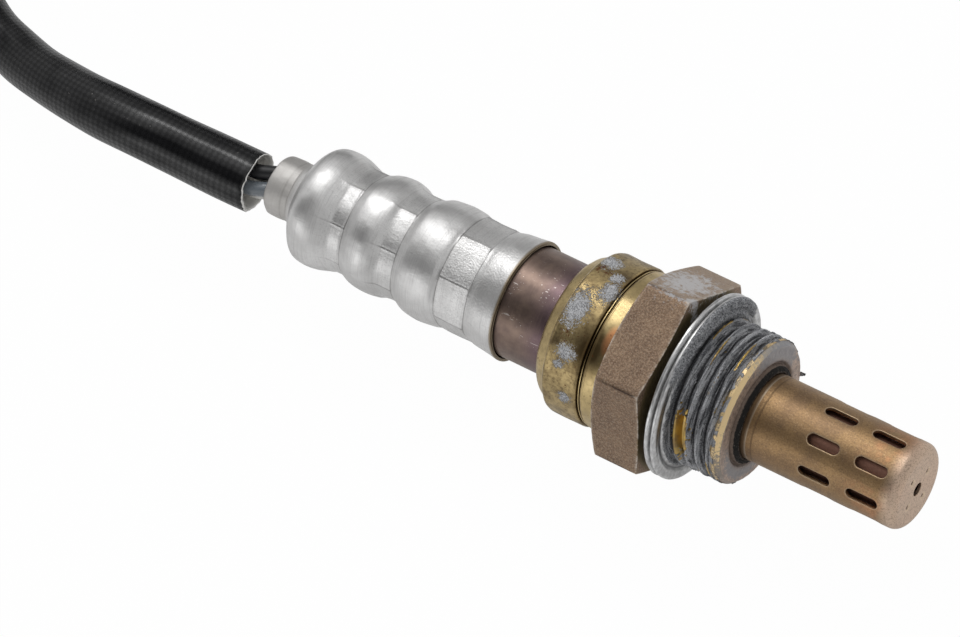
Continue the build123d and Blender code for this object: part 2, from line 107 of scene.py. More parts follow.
class Finish:
    """A node tree. A material's constants go on its Principled shader, and its varying values are fields."""

    def __init__(self, name, **constants):
        self.material = bpy.data.materials.new(name)
        self.material.use_nodes = True
        self.tree = self.material.node_tree
        self.shader = self.tree.nodes["Principled BSDF"]
        self.wear(**constants)

    def wear(self, **values):
        for name, value in values.items():
            self.put(value, self.shader.inputs[name.replace("_", " ")])
        return self

    def put(self, value, socket):
        if isinstance(value, Field):
            self.tree.links.new(value.socket, socket)
        elif socket.type == "RGBA" and len(value) == 3:
            socket.default_value = (*value, 1.0)
        else:
            socket.default_value = value

    def node(self, kind, settings=None, *values, out=0, **named):
        made = self.tree.nodes.new("ShaderNode" + kind)
        for key, value in (settings or {}).items():
            setattr(made, key, value)
        for socket, value in zip(made.inputs, values):
            self.put(value, socket)
        for name, value in named.items():
            self.put(value, made.inputs[name.replace("_", " ")])
        return Field(self, made.outputs[out])

    def place(self, x=1.0, y=1.0, z=1.0):
        """Object coordinates in millimetres, each stretched by its factor."""
        spot = self.node("TexCoord", out="Object")
        return self.node("Mapping", None, spot, Scale=(x / MM, y / MM, z / MM))

    def axis(self, number=0, spot=None):
        """One coordinate of a spot: in millimetres along the sensor, unless told otherwise."""
        return self.node("SeparateXYZ", None, spot or self.place(), out=number)

    def noise(self, scale, detail=2.0, roughness=0.5, distortion=0.0, spot=None):
        """Cloudy noise, with about scale clouds to a millimetre or (x, y, z) of them along each axis."""
        if isinstance(scale, tuple):
            spot, scale = self.place(*scale), 1.0
        return self.node("TexNoise", None, Vector=spot or self.place(), Scale=scale, Detail=detail,
                         Roughness=roughness, Distortion=distortion)

    def grain(self, scale):
        """Distance to the nearest of many scattered points, 0 at each: specks, pits and crystals."""
        return self.node("TexVoronoi", None, Vector=self.place(), Scale=scale)

    def blend(self, amount, first, second):
        """The first colour where amount is 0, the second where it is 1."""
        mixer = self.tree.nodes.new("ShaderNodeMix")
        mixer.data_type = "RGBA"
        for value, number in ((amount, 0), (first, 6), (second, 7)):
            self.put(value, mixer.inputs[number])
        return Field(self, mixer.outputs[2])

    def layers(self, colour, *coats):
        """A colour under coats of (amount, colour), each laid over the one before."""
        for amount, coat in coats:
            colour = self.blend(amount, colour, coat)
        return colour

    def painted(self, name):
        """A value that the mesh carries at its points."""
        return self.node("Attribute", {"attribute_name": name}, out="Fac")

    def bump(self, height, depth, under=None):
        """A surface normal from a height between 0 and 1, of that depth in millimetres."""
        named = {"Height": height, "Distance": depth * MM}
        if under is not None:
            named["Normal"] = under
        return self.node("Bump", None, **named)


FLOOR_Z, FLOOR_REACH = -11.5 * MM, 6.0
floor_mesh = bpy.data.meshes.new("floor")
floor_corners = [(x * FLOOR_REACH, y * FLOOR_REACH, FLOOR_Z) for x, y in ((-1, -1), (1, -1), (1, 1), (-1, 1))]
floor_mesh.from_pydata(floor_corners, [], [(0, 1, 2, 3)])
sweep = Finish("white_sweep", Base_Color=(0.88, 0.88, 0.88), Roughness=0.9, Specular_IOR_Level=0.0)
ray = sweep.node("LightPath", out="Is Camera Ray")
mirrored = sweep.node("LightPath", out="Is Glossy Ray")
passed = sweep.node("LightPath", out="Is Transmission Ray")
glow = sweep.node("Emission", None, (1.0, 1.0, 1.0), 1.0)
plain = Field(sweep, sweep.shader.outputs[0])
paper = sweep.node("MixShader", None, ray * 0.98 + mirrored * 0.30 + passed * 0.90, plain, glow)
sweep.put(paper, sweep.tree.nodes["Material Output"].inputs["Surface"])
floor_mesh.materials.append(sweep.material)
floor = bpy.data.objects.new("floor", floor_mesh)
scene.collection.objects.link(floor)


class RoomLight(Finish):
    """The world: white to the camera, and card of uneven brightness to the metal."""

    def __init__(self):
        world = bpy.data.worlds.new("room")
        world.use_nodes = True
        scene.world = world
        self.tree = world.node_tree
        seen = self.node("LightPath", out="Is Camera Ray")
        towards = self.node("TexCoord", out="Generated")

        def patch(direction, rim, middle):
            """1 within a round patch of the room, 0 outside it: rim and middle are cosines."""
            facing = self.node("VectorMath", {"operation": "DOT_PRODUCT"}, towards, direction, out="Value")
            return facing.between(rim, middle)

        above_near = patch((-0.398, -0.485, 0.779), 0.84, 0.97)
        beyond = patch((-0.41, 0.88, 0.24), 0.86, 0.98)
        shade = 0.60 - above_near * 0.56 - beyond * 0.22
        card = self.blend(seen, self.blend(shade, (0.0, 0.0, 0.0), (1.0, 1.0, 1.0)), (1.0, 1.0, 1.0))
        self.put(card, self.tree.nodes["Background"].inputs["Color"])


RoomLight()


# ---- Outer sleeve ----
# Stainless cover deep-drawn from thin sheet and narrowed behind to a neck for the wires. Eight jaws
# crimp it on three waists, which leaves flats with fine ridges between and a skin like orange peel.
# Its creases and fine edges are painted with thin dark lines of shade.
def held(value):
    """The value, held between 0 and 1."""
    return np.clip(value, 0.0, 1.0)


def step(low, high, value):
    """Smooth step from 0 at low to 1 at high: t * t * (3 - 2 t), with t held between 0 and 1."""
    t = held((np.asarray(value, float) - low) / (high - low))
    return t * t * (3 - 2 * t)


def band(value, middle, width):
    """1 at the middle, fading smoothly on both sides of it: exp(-((value - middle) / width)^2)."""
    return np.exp(-((value - middle) / width) ** 2)


def circle(columns):
    """Angles of evenly spaced columns, from +Y towards +Z round the sensor's axis."""
    return np.linspace(0.0, 2 * pi, columns, endpoint=False)


def turned(x, r, angle):
    """Points (x, r cos a, r sin a): each row is a ring round the sensor's axis."""
    x, r, angle = np.broadcast_arrays(x, r, angle)
    return np.stack([x, r * np.cos(angle), r * np.sin(angle)], axis=-1)


def grid(line, columns):
    """The x and r of a line's rows, and the angles of that many columns: what turned() takes."""
    return line[:, :1], line[:, 1:], circle(columns)


def curved_through(knots, rows):
    """A smooth line through (x, r) knots: the Catmull-Rom curve, with that many rows to each knot."""
    knots = np.asarray(knots, float)
    knots = np.concatenate([2 * knots[:1] - knots[1:2], knots, 2 * knots[-1:] - knots[-2:-1]])
    t = np.linspace(0, 1, rows, endpoint=False)[None, :, None]
    a, b, c, d = (knots[start:len(knots) - 3 + start, None] for start in range(4))
    curve = 0.5 * (2 * b + (c - a) * t + (2 * a - 5 * b + 4 * c - d) * t ** 2
                   + (3 * b - a - 3 * c + d) * t ** 3)
    return np.concatenate([curve.reshape(-1, knots.shape[-1]), knots[-2:-1]])


def lumps(x, angle, size, seed, stretch=1.0, radius=8.0, waves=40):
    """A smooth uneven height, mostly within -1..1: cosines about size long, closed round the axis.

    They are stretch times longer round the axis than along it."""
    chance = np.random.default_rng(seed)
    total = np.zeros(np.broadcast(x, angle).shape)
    for _ in range(waves):
        heading, pace = chance.uniform(0, 2 * pi), chance.uniform(0.6, 1.7) / size
        turns = round(pace * cos(heading) * 2 * pi * radius / stretch)
        total = total + np.cos(turns * angle + 2 * pi * pace * sin(heading) * x + chance.uniform(0, 2 * pi))
    return total / (waves / 2) ** 0.5


class Sheet:
    """A net of points [row, column] in millimetres, joined by quads, with values painted on them."""

    def __init__(self, points, closed=True, unrolled=None, **paint):
        self.points, self.closed, self.unrolled = points, closed, unrolled
        self.paint = {name: np.broadcast_to(value, points.shape[:2]) for name, value in paint.items()}


def cells(net):
    """The four corners of each quad between neighbouring rows and columns."""
    return np.stack([net[:-1, :-1], net[:-1, 1:], net[1:, 1:], net[1:, :-1]], axis=2)


def piece(name, sheets, finish, slot, *replaced, sharp=50.0):
    """Makes one object of the sheets, which rides on the sensor and stands for those CAD nodes."""
    points, quads, maps, start = [], [], [], 0
    for sheet in sheets:
        number = np.arange(sheet.points[..., 0].size).reshape(sheet.points.shape[:2]) + start
        start += number.size
        if sheet.closed:
            number = np.concatenate([number, number[:, :1]], axis=1)
        quads.append(cells(number).reshape(-1, 4))
        points.append(sheet.points.reshape(-1, 3))
        if sheet.unrolled is not None:
            maps.append(cells(sheet.unrolled).reshape(-1, 2))
    points, quads = np.concatenate(points) * MM, np.concatenate(quads)
    mesh = bpy.data.meshes.new(name)
    mesh.vertices.add(len(points))
    mesh.vertices.foreach_set("co", points.astype(np.float32).ravel())
    mesh.loops.add(quads.size)
    mesh.loops.foreach_set("vertex_index", quads.astype(np.int32).ravel())
    mesh.polygons.add(len(quads))
    mesh.polygons.foreach_set("loop_start", np.arange(0, quads.size, 4, dtype=np.int32))
    mesh.update(calc_edges=True)
    mesh.polygons.foreach_set("use_smooth", np.ones(len(quads), bool))
    mesh.set_sharp_from_angle(angle=radians(sharp))
    if maps:
        flat_map = np.concatenate(maps).astype(np.float32)
        mesh.uv_layers.new(name="unrolled").data.foreach_set("uv", flat_map.ravel())
    for key in sheets[0].paint:
        values = np.concatenate([sheet.paint[key].ravel() for sheet in sheets])
        mesh.attributes.new(key, "FLOAT", "POINT").data.foreach_set("value", values.astype(np.float32))
    mesh.materials.append(finish.material)
    made = bpy.data.objects.new(name, mesh)
    scene.collection.objects.link(made)
    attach(made, "root")
    if replaced:
        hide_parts(*replaced)
    return made


COVER_RIM, INSIDE_ROWS = -25.3, 26
JAW = radians(45)
# Each waist's start, end, radius, how flat its jaws are, and how far its bulge is pressed behind it.
WAISTS = ((-49.0, -47.6, 6.40, 0.22, 2.8), (-42.0, -40.1, 6.58, 0.27, 2.4), (-33.6, -29.6, 6.93, 0.48, 0.3))
neck_line = [(-60.3, 3.15), (-60.42, 3.30), (-60.36, 3.50), (-60.05, 3.66), (-58.8, 3.72), (-57.3, 3.71),
             (-57.0, 3.96), (-56.5, 4.20), (-55.95, 4.42)]
body_line = [
    (-55.80, 4.42), (-55.72, 4.60), (-55.60, 5.15), (-55.30, 6.05), (-54.3, 7.08), (-53.0, 7.38),
    (-51.6, 7.25), (-50.1, 6.78), (-49.3, 6.45), (-48.6, 6.40), (-47.9, 6.40), (-47.3, 6.62),
    (-46.2, 7.08), (-44.7, 7.30), (-43.2, 7.15), (-42.3, 6.70), (-41.6, 6.58), (-40.6, 6.58),
    (-39.8, 6.70), (-38.6, 7.18), (-36.5, 7.39), (-34.7, 7.22), (-33.8, 6.98), (-32.8, 6.93),
    (-30.4, 6.93), (-29.3, 7.02), (-28.4, 7.22), (-27.0, 7.38), (-25.5, 7.56), (COVER_RIM, 7.56),
    (COVER_RIM + 0.06, 7.46), (COVER_RIM + 0.06, 7.28), (COVER_RIM - 0.05, 7.16), (-27.0, 6.98),
    (-29.0, 6.75)]
cover_line = np.concatenate([curved_through(neck_line, 14), curved_through(body_line, 10)])
cover_x, cover_r, cover_angle = grid(cover_line, 256)
from_ridge = np.abs((cover_angle / JAW + 1.0) % 1.0 - 0.5) * JAW
outer_skin = np.arange(len(cover_line))[:, None] < len(cover_line) - INSIDE_ROWS
pressed, edge_line, crease_shade = 0.0, 0.0, 0.0
for start, end, radius, flatness, run_in in WAISTS:
    here = step(start - run_in, start + 0.1, cover_x) * (1 - step(end - 0.05, end + 0.25, cover_x))
    flat = radius * (1.003 - 0.025 * flatness + flatness * (1 / np.cos(JAW / 2 - from_ridge) - 1))
    ridge = 0.05 * band(from_ridge, 0.0, 0.020)
    lifted = np.maximum(cover_r - radius, 0.0) * 0.75
    cover_r = np.where(outer_skin, cover_r + here * (flat + lifted + ridge - cover_r), cover_r)
    pressed = pressed + here * outer_skin
    # Painted shade: a dark line along each jaw's ridge on the waists.
    crease_shade = crease_shade + band(from_ridge, 0.0, 0.013) * here * outer_skin * 0.7
# Fine edges: the jaws' front ends, the last waist's rear end, and three turns on the neck. Each is pressed in
# a little and painted with a dark line of shade.
for edge, width in ((-47.48, 0.06), (-39.98, 0.06), (-33.7, 0.06), (-29.48, 0.06),
                    (-57.95, 0.07), (-57.05, 0.09), (-55.62, 0.05)):
    edge_line = edge_line + band(cover_x, edge, width) * outer_skin
uneven = lumps(cover_x, cover_angle, 7.0, 3) * 0.035 + lumps(cover_x, cover_angle, 2.2, 5) * 0.004
cover_r = cover_r + (uneven - 0.035 * edge_line) * outer_skin
rim_tint = step(COVER_RIM - 0.35, COVER_RIM - 0.05, cover_x) + (~outer_skin)

cover = Finish("cover_steel", Metallic=1.0)
turning = cover.noise((7.0, 0.25, 0.25), 3.0, 0.65)
peel = cover.noise(4.2, 2.0, 0.55)
clouds = cover.noise(0.22, 3.0, 0.6)
pitted = cover.noise(5.0, 3.0, 0.7)
scuffs = cover.noise((0.5, 2.6, 2.6), 4.0, 0.75).between(0.60, 0.72)
jaws = cover.painted("pressed")
lengthwise = cover.axis()
behind, toward_rim = 1.0 - lengthwise.between(-57.3, -55.9), lengthwise.between(-36.0, -32.0)
steel = cover.layers(
    (0.70, 0.695, 0.69),
    (clouds.between(0.3, 0.7), (0.56, 0.555, 0.55)),
    (turning.between(0.45, 0.75) * 0.4, (0.40, 0.395, 0.39)),
    # Painted shade: dark lines along the creases and fine edges.
    (cover.painted("crease_shade") * (0.25 + clouds.between(0.32, 0.6) * 0.55), (0.16, 0.155, 0.15)),
    (behind * 0.6, (0.47, 0.45, 0.425)),
    (scuffs * 0.45, (0.36, 0.355, 0.35)),
    (pitted.between(0.5, 0.72) * (0.12 + jaws * 0.3), (0.30, 0.295, 0.29)),
    (cover.painted("rim") * 0.8, (0.20, 0.14, 0.06)))
cover.wear(Base_Color=steel,
           Roughness=0.30 + turning * 0.14 + clouds * 0.10 + behind * 0.16,
           Normal=cover.bump(peel * (0.5 + jaws * 0.3 + toward_rim * 0.5), 0.036, cover.bump(turning, 0.008)))
cover_sheet = Sheet(turned(cover_x, cover_r, cover_angle), pressed=held(pressed), rim=held(rim_tint),
                    crease_shade=held(crease_shade + edge_line))
piece("outer_sleeve_cover", [cover_sheet], cover, "cover_steel", "outer_sleeve", sharp=60)


# ---- Inner sleeve ----
# Stainless sleeve between the shell and the cover. Heat has tinted it purple-brown, and it carries
# a fine haze with a few pale scratches and specks. Its flange is held under the shell's lip.
sleeve_line = curved_through([
    (-27.5, 6.98), (-26.0, 7.0), (-22.0, 7.0), (-18.9, 7.0), (-18.2, 7.02), (-17.7, 7.05)], 10)
inner = Finish("sleeve_steel", Metallic=1.0)
grain_round = inner.noise((5.0, 0.5, 0.5), 4.0, 0.7)
haze = inner.noise(0.5, 3.0, 0.6)
specks = inner.noise(4.5, 2.0, 0.6).between(0.69, 0.74)
zone = inner.noise(0.35, 1.0).between(0.5, 0.62)
scratch = inner.noise((0.8, 3.5, 3.5), 2.0, 0.6, 0.4).between(0.66, 0.70)
near_lip = inner.axis().between(-22.5, -18.5)
tint = inner.layers(
    (0.228, 0.166, 0.134),
    (haze.between(0.3, 0.7), (0.153, 0.111, 0.096)),
    (near_lip * 0.7, (0.135, 0.088, 0.112)),
    (grain_round.between(0.4, 0.8) * 0.35, (0.26, 0.19, 0.165)),
    ((specks + scratch * 0.7) * zone * 0.75, (0.75, 0.70, 0.66)))
inner.wear(Base_Color=tint, Roughness=0.30 + grain_round * 0.22, Normal=inner.bump(grain_round, 0.012))
piece("inner_sleeve_skin", [Sheet(turned(*grid(sleeve_line, 160)))], inner, "inner_sleeve_steel",
      "inner_sleeve")


# ---- Shell: collar ----
# The steel body is one turned part, zinc plated and passivated olive-gold. Its rear lip is rolled
# over the sleeve's flange, behind a collar, a cut groove and a flange. Smears of grey
# assembly paste and a few rust dots have stayed on it. The flange, the bead in the groove and
# the lip are painted with highlights, the groove's sides with shade, and a dark reflection is
# painted across the groove and flange on their upper side.
def run_through(corners, roundings, rows, bend=5):
    """Rows along a line through corners [corner, (x, r)], each corner a quadratic curve.

    A corner P between neighbours becomes (1-t)^2 A + 2 t (1-t) P + t^2 B, where A and B lie its
    rounding away from P on either side. rows is how many rows each straight run gets. Corners
    [corner, column, (x, r)] give every column a line of its own."""
    corners = np.asarray(corners, float)
    if corners.ndim == 2:
        return run_through(corners[:, None], roundings, rows, bend)[:, 0]
    lines, leaving = [], corners[0]
    for index in range(1, len(corners)):
        here, last = corners[index], index == len(corners) - 1
        rounding = 0.0 if last else roundings[index - 1]
        back = corners[index - 1] - here
        back_by = np.linalg.norm(back, axis=-1, keepdims=True) + 1e-9
        arriving = here + back / back_by * np.minimum(rounding, 0.45 * back_by)
        t = np.linspace(0, 1, rows[index - 1] + 1)[:, None, None]
        lines.append((leaving * (1 - t) + arriving * t)[:None if last else -1])
        if not last:
            ahead = corners[index + 1] - here
            ahead_by = np.linalg.norm(ahead, axis=-1, keepdims=True) + 1e-9
            leaving = here + ahead / ahead_by * np.minimum(rounding, 0.45 * ahead_by)
            t = np.linspace(0, 1, bend)[:-1, None, None]
            lines.append((1 - t) ** 2 * arriving + 2 * t * (1 - t) * here + t ** 2 * leaving)
    return np.concatenate(lines)


def smear(x, angle, x_at, degrees, x_reach, reach_degrees):
    """How near each point is to a smear's middle: 1 at the middle, 0 at its rim, below 0 outside."""
    round_by = (np.degrees(angle) - degrees + 180) % 360 - 180
    return 1 - np.sqrt(((x - x_at) / x_reach) ** 2 + (round_by / reach_degrees) ** 2)


def smears_at(x, angle, *places):
    """Several smears: at each point the value of the nearest, from their x, degrees and reaches."""
    return np.maximum.reduce([smear(x, angle, *place) for place in places])


COLLAR_RADIUS, GROOVE_RADIUS, BEAD_RADIUS, FLANGE_RADIUS = 10.1, 9.5, 9.8, 9.9
lip_line = curved_through([
    (-18.3, 7.06), (-18.48, 7.15), (-18.54, 7.5), (-18.50, 7.95), (-18.32, 8.38),
    (-17.98, 8.75), (-17.35, 9.12), (-16.8, 9.42)], 8)
collar_line = run_through(
    [(-16.78, 9.43), (-16.70, 9.40), (-16.66, 9.66), (-16.35, COLLAR_RADIUS), (-12.0, COLLAR_RADIUS),
     (-11.80, 9.95), (-11.78, GROOVE_RADIUS), (-11.68, GROOVE_RADIUS), (-11.62, BEAD_RADIUS),
     (-11.50, BEAD_RADIUS), (-11.44, GROOVE_RADIUS), (-11.36, GROOVE_RADIUS), (-11.30, 9.86),
     (-11.05, 9.94), (-10.9, FLANGE_RADIUS), (-9.2, FLANGE_RADIUS), (-8.9, 9.8)],
    [0.03, 0.05, 0.30, 0.12, 0.06, 0.03, 0.03, 0.04, 0.04, 0.03, 0.03, 0.05, 0.05, 0.1, 0.1],
    [2, 3, 4, 40, 3, 3, 2, 3, 3, 3, 2, 3, 3, 3, 18, 4])
shell_line = np.concatenate([lip_line, collar_line])
shell_x, shell_r, shell_angle = grid(shell_line, 330)
on_shell = shell_x, shell_angle
shell_r = shell_r + 0.018 * lumps(*on_shell, 4.0, 8)
paste_here = smears_at(
    *on_shell, (-15.0, 88, 1.5, 14), (-12.7, 69, 1.1, 9), (-14.1, 118, 1.3, 6), (-13.3, 152, 0.8, 5),
    (-15.3, 43, 1.3, 8), (-14.6, 128, 0.7, 3), (-13.2, 56, 0.9, 5), (-14.0, 205, 1.4, 12),
    (-13.4, 300, 1.2, 10))
PASTE_DARK, PASTE_LIGHT = (0.110, 0.112, 0.120), (0.560, 0.565, 0.580)


collar = Finish("collar_zinc")
lathe = collar.noise((9.0, 0.4, 0.4), 3.0, 0.6)
bloom = collar.noise(0.45, 4.0, 0.65)
mottle = collar.noise(2.4, 4.0, 0.7)
crystals = collar.grain(5.5)
edge = collar.noise(1.3, 4.0, 0.7)
thin = collar.noise(5.0, 3.0, 0.7)
pasted = (collar.painted("paste") + (edge - 0.5) * 1.7 + (thin - 0.5) * 2.6).between(-0.10, 0.30)
rusty = (collar.noise(2.0, 3.0, 0.7) + collar.painted("rusted") * 0.14).between(0.655, 0.695)
crumbs = collar.blend(
    crystals.between(0.15, 0.60) * 0.65 + mottle.between(0.35, 0.65) * 0.35, PASTE_DARK, PASTE_LIGHT)
gold = collar.layers(
    (0.44, 0.335, 0.165),
    (bloom.between(0.35, 0.68), (0.190, 0.138, 0.070)),
    (mottle.between(0.46, 0.70) * 0.6, (0.095, 0.063, 0.036)),
    # Painted highlights on the bead, the lip and the flange.
    (collar.painted("cut") * 0.9, (0.72, 0.56, 0.28)),
    # A painted dark reflection across the groove and flange on their upper side.
    (collar.painted("stain_and_reflection") * 0.9, (0.085, 0.054, 0.022)),
    (collar.painted("flare") * 0.8, (0.62, 0.27, 0.12)),
    # Painted shade in the grooves beside the bead and at the lip's step.
    (collar.painted("groove_shade") * 0.75, (0.085, 0.050, 0.020)),
    # Painted highlight along the lip's seam and round its rear rim.
    (collar.painted("lip_highlight") * mottle.between(0.3, 0.5) * 0.8, (0.84, 0.76, 0.56)),
    (rusty * 0.8, (0.11, 0.035, 0.015)),
    (pasted, crumbs))
roughness = 0.30 + mottle * 0.16 + lathe * 0.06 + pasted * 0.45 + rusty * 0.2 - collar.painted("cut") * 0.12
tooling = collar.bump(lathe, 0.008, collar.bump(mottle, 0.012))
collar.wear(Base_Color=gold, Metallic=1.0 - pasted, Roughness=roughness,
            Normal=collar.bump(pasted * crystals, 0.10, tooling))

BEAD_X, LIP_SEAM_X, LIP_REAR_X = -11.56, -16.55, -18.50
# Painted highlights: the bead's line, the lip's seam and, more faintly, the flange and the lip's face.
cut = np.maximum.reduce([
    band(shell_x, BEAD_X, 0.08), 0.45 * step(-11.2, -11.05, shell_x),
    band(shell_x, LIP_SEAM_X, 0.07), 0.4 * step(-16.6, -16.8, shell_x)])
# Painted shade: dark lines in the groove on each side of the bead, and faintly at the lip's step.
groove_shade = 0.3 * band(shell_x, -16.74, 0.05) + band(np.abs(shell_x + 11.57), 0.16, 0.07)
# Painted highlight along the lip's seam and round its rear rim.
lip_highlight = band(shell_x, -16.60, 0.07) + (1 - step(LIP_REAR_X, LIP_REAR_X + 0.1, shell_x))
rusted = smears_at(*on_shell, *((x, degrees, 0.9, 7) for x, degrees in (
    (-14.0, 53), (-13.3, 68), (-15.5, 53), (-14.9, 108), (-12.6, 70))))
# A painted dark reflection across the groove and flange on their upper side.
stain_and_reflection = smear(*on_shell, -11.3, 110, 2.6, 27) + 0.06 * lumps(*on_shell, 1.5, 9)
flare = smear(*on_shell, -9.4, 99, 1.1, 13)
collar_sheet = Sheet(
    turned(shell_x, shell_r, shell_angle), paste=paste_here, cut=cut, groove_shade=held(groove_shade),
    stain_and_reflection=held(stain_and_reflection * 1.5), flare=held(flare * 2.2), lip_highlight=held(lip_highlight), rusted=held(rusted * 2.0))
piece("shell_collar", [collar_sheet], collar, "shell_steel", "hex_shell")


# ---- Shell: hexagon ----
# Wrench hexagon 22 mm across flats, milled on the same body and chamfered at both ends. Heat has
# turned its plating matte brown; the edges are rubbed bright and the upper flat carries paste.
HEX_REAR, HEX_FRONT, HEX_FLAT, HALF_FLAT = -9.0, -2.5, 11.0, radians(30)
# The chamfers' slopes: their length at a corner over how far a corner stands past a flat.
REAR_SLOPE, FRONT_SLOPE = 0.57 / 1.702, 0.29 / 1.702
within = np.linspace(-1, 1, 52, endpoint=False)
within = np.sign(within) * (1 - (1 - np.abs(within)) ** 1.6) * HALF_FLAT
hex_angle = ((2 * np.arange(6)[:, None] + 1) * HALF_FLAT + within[None, :]).ravel()
to_corner = (HALF_FLAT - np.abs(np.tile(within, 6))) * HEX_FLAT
hex_r = HEX_FLAT / np.cos(np.tile(within, 6)) - 0.10 * np.exp(-to_corner / 0.22)


def ring(x, r):
    """A corner of the hexagon's profile: its own x and r at every column."""
    return np.stack(np.broadcast_arrays(x, r, hex_r)[:2], axis=-1)


rear_x = HEX_REAR + REAR_SLOPE * (hex_r - HEX_FLAT)
front_x = HEX_FRONT - FRONT_SLOPE * (hex_r - HEX_FLAT)
hex_lines = run_through(
    np.stack([ring(HEX_REAR, 9.5), ring(HEX_REAR, HEX_FLAT - 0.05), ring(rear_x, hex_r), ring(front_x, hex_r),
              ring(HEX_FRONT, HEX_FLAT - 0.05), ring(HEX_FRONT, 8.0)]),
    [0.05, 0.10, 0.08, 0.06], [6, 12, 46, 8, 14])
hex_x, hex_rr = hex_lines[..., 0], hex_lines[..., 1]
to_end = np.minimum(np.abs(hex_x - rear_x), np.abs(front_x - hex_x))
on_flat = hex_rr > hex_r - 0.12
worn = (np.exp(-to_end / 0.10) + np.exp(-to_corner / 0.10) * step(0.9, 0.3, front_x - hex_x)) * on_flat
cracked = band(to_corner, 0.0, 0.13) * on_flat * step(0.15, 0.7, to_end)
smeared = np.maximum.reduce([
    smear(hex_x, hex_angle, -5.9, 35, 4.4, 30) * 0.9,
    smear(hex_x, hex_angle, -2.9, 57, 1.1, 6) * 0.8,
    smear(hex_x, hex_angle, -5.6, 60.5, 3.6, 2.6) * 0.6])
front_gold = step(HEX_FRONT - 0.12, HEX_FRONT - 0.02, hex_x)
# Painted light: the flat that faces the lamps, the upper one in view, is painted paler.
lit_flat = (np.abs(hex_angle - radians(30)) < radians(29.5)) * on_flat

flats = Finish("hexagon_zinc")
mill = flats.noise((0.6, 3.0, 3.0), 3.0, 0.6)
speckle = flats.noise(4.2, 4.0, 0.75)
fine = flats.noise(8.0, 2.0, 0.7)
cast = flats.noise(0.35, 3.0, 0.6)
pits = flats.grain(3.0).between(0.03, 0.16)
smears = (flats.painted("paste") + (flats.noise(1.4, 5.0, 0.78) - 0.55) * 2.8).between(0.0, 0.5)
rubbed = flats.painted("worn") * flats.noise(1.1, 3.0, 0.7).between(0.38, 0.62)
brown = flats.layers(
    (0.230, 0.155, 0.102),
    (cast.between(0.3, 0.7), (0.165, 0.110, 0.076)),
    # Painted light on the flat that faces the lamps.
    (flats.painted("lit_flat") * 0.5, (0.50, 0.41, 0.33)),
    (speckle.between(0.46, 0.62) * 0.50, (0.49, 0.365, 0.250)),
    (fine.between(0.52, 0.66) * 0.40, (0.33, 0.175, 0.095)),
    ((1.0 - fine.between(0.36, 0.48)) * 0.35, (0.31, 0.265, 0.205)),
    ((1.0 - speckle.between(0.30, 0.44)) * 0.75, (0.060, 0.030, 0.022)),
    (flats.painted("cracked") * (0.35 + cast.between(0.35, 0.6) * 0.5), (0.035, 0.020, 0.016)),
    ((1.0 - pits) * 0.7, (0.07, 0.045, 0.035)),
    (flats.painted("gold"), (0.17, 0.128, 0.06)),
    (rubbed * 0.9, (0.74, 0.67, 0.58)),
    (smears * 0.85, (0.50, 0.50, 0.51)))
flats.wear(Base_Color=brown, Metallic=0.75 - smears * 0.6, Roughness=0.42 + speckle * 0.18 + smears * 0.2,
           Normal=flats.bump(speckle, 0.03, flats.bump(mill, 0.012, flats.bump(pits, 0.02))))
hexagon_sheet = Sheet(
    turned(hex_x, hex_rr, hex_angle), worn=worn, lit_flat=lit_flat, cracked=cracked, paste=smeared, gold=front_gold)
piece("shell_hexagon", [hexagon_sheet], flats, "shell_steel", "hex_shell", sharp=40)


# ---- Shell: thread ----
# M18 x 1.5 right-hand thread, coated with anti-seize paste that fills the roots, drags into
# streaks round the thread and breaks off the crests, where the gold plating shows through.
# The thread's roots and the paste's furrows are painted darker, as shade.
THREAD_RADIUS, PITCH, THREAD_DEPTH, THREAD_END, NOSE_X = 9.0, 1.5, 0.92, 6.5, 7.1
PASTE_LEVEL, PASTE_COAT, PASTED_RADIUS = 8.36, 0.09, 9.13
thread_x = np.linspace(-0.9, THREAD_END + 0.05, 225)[:, None]
thread_angle = circle(430)
phase = ((thread_x + 0.35) / PITCH - thread_angle / (2 * pi)) % 1.0
tooth = held((1 - np.abs(2 * phase - 1) - 0.20) / 0.67)
fade = step(-0.9, 0.3, thread_x) * (1 - step(5.55, 6.15, thread_x))
metal = THREAD_RADIUS - THREAD_DEPTH * (1 - tooth) * fade
on_thread = thread_x, thread_angle
bare = smear(*on_thread, 1.55, 146, 1.15, 25) + 0.16 * lumps(*on_thread, 0.8, 15)
bare = held(bare * 3.0)
bare = np.maximum(bare, step(5.75, 6.1, thread_x) * (0.40 + 0.65 * lumps(*on_thread, 2.0, 4)))
streaks = lumps(*on_thread, 0.30, 11, stretch=16.0, waves=70)
clods = lumps(*on_thread, 1.6, 12, stretch=3.0)
crumbly = lumps(*on_thread, 0.22, 13, stretch=2.5, waves=70)
level = PASTE_LEVEL + 0.07 * clods + 0.015 * streaks - 0.9 * bare
coat = metal + PASTE_COAT + 0.025 * clods + 0.012 * streaks - 0.45 * bare
filled = np.maximum(level, coat)
furrow = band(np.minimum(phase, 1 - phase), 0.0, 0.07) * fade
surface = np.maximum(metal, filled + (0.020 * crumbly - 0.20 * furrow) * (filled > metal))
covered = step(-0.035, 0.05, filled + 0.02 * crumbly - metal)
crest = step(0.92, 1.0, tooth) * fade * step(0.4, 1.1, lumps(*on_thread, 2.0, 14, stretch=4.0))
# Painted shade in the thread's roots and the paste's furrows, and darker along some of its streaks.
root = (0.55 * (1 - tooth) + 0.55 * furrow) * fade + 0.5 * step(-0.8, -1.6, streaks) * fade
thread_sheet = Sheet(
    turned(thread_x, np.minimum(surface, PASTED_RADIUS), thread_angle), covered=covered,
    crest=crest, root=root, land=step(5.7, 6.1, thread_x))

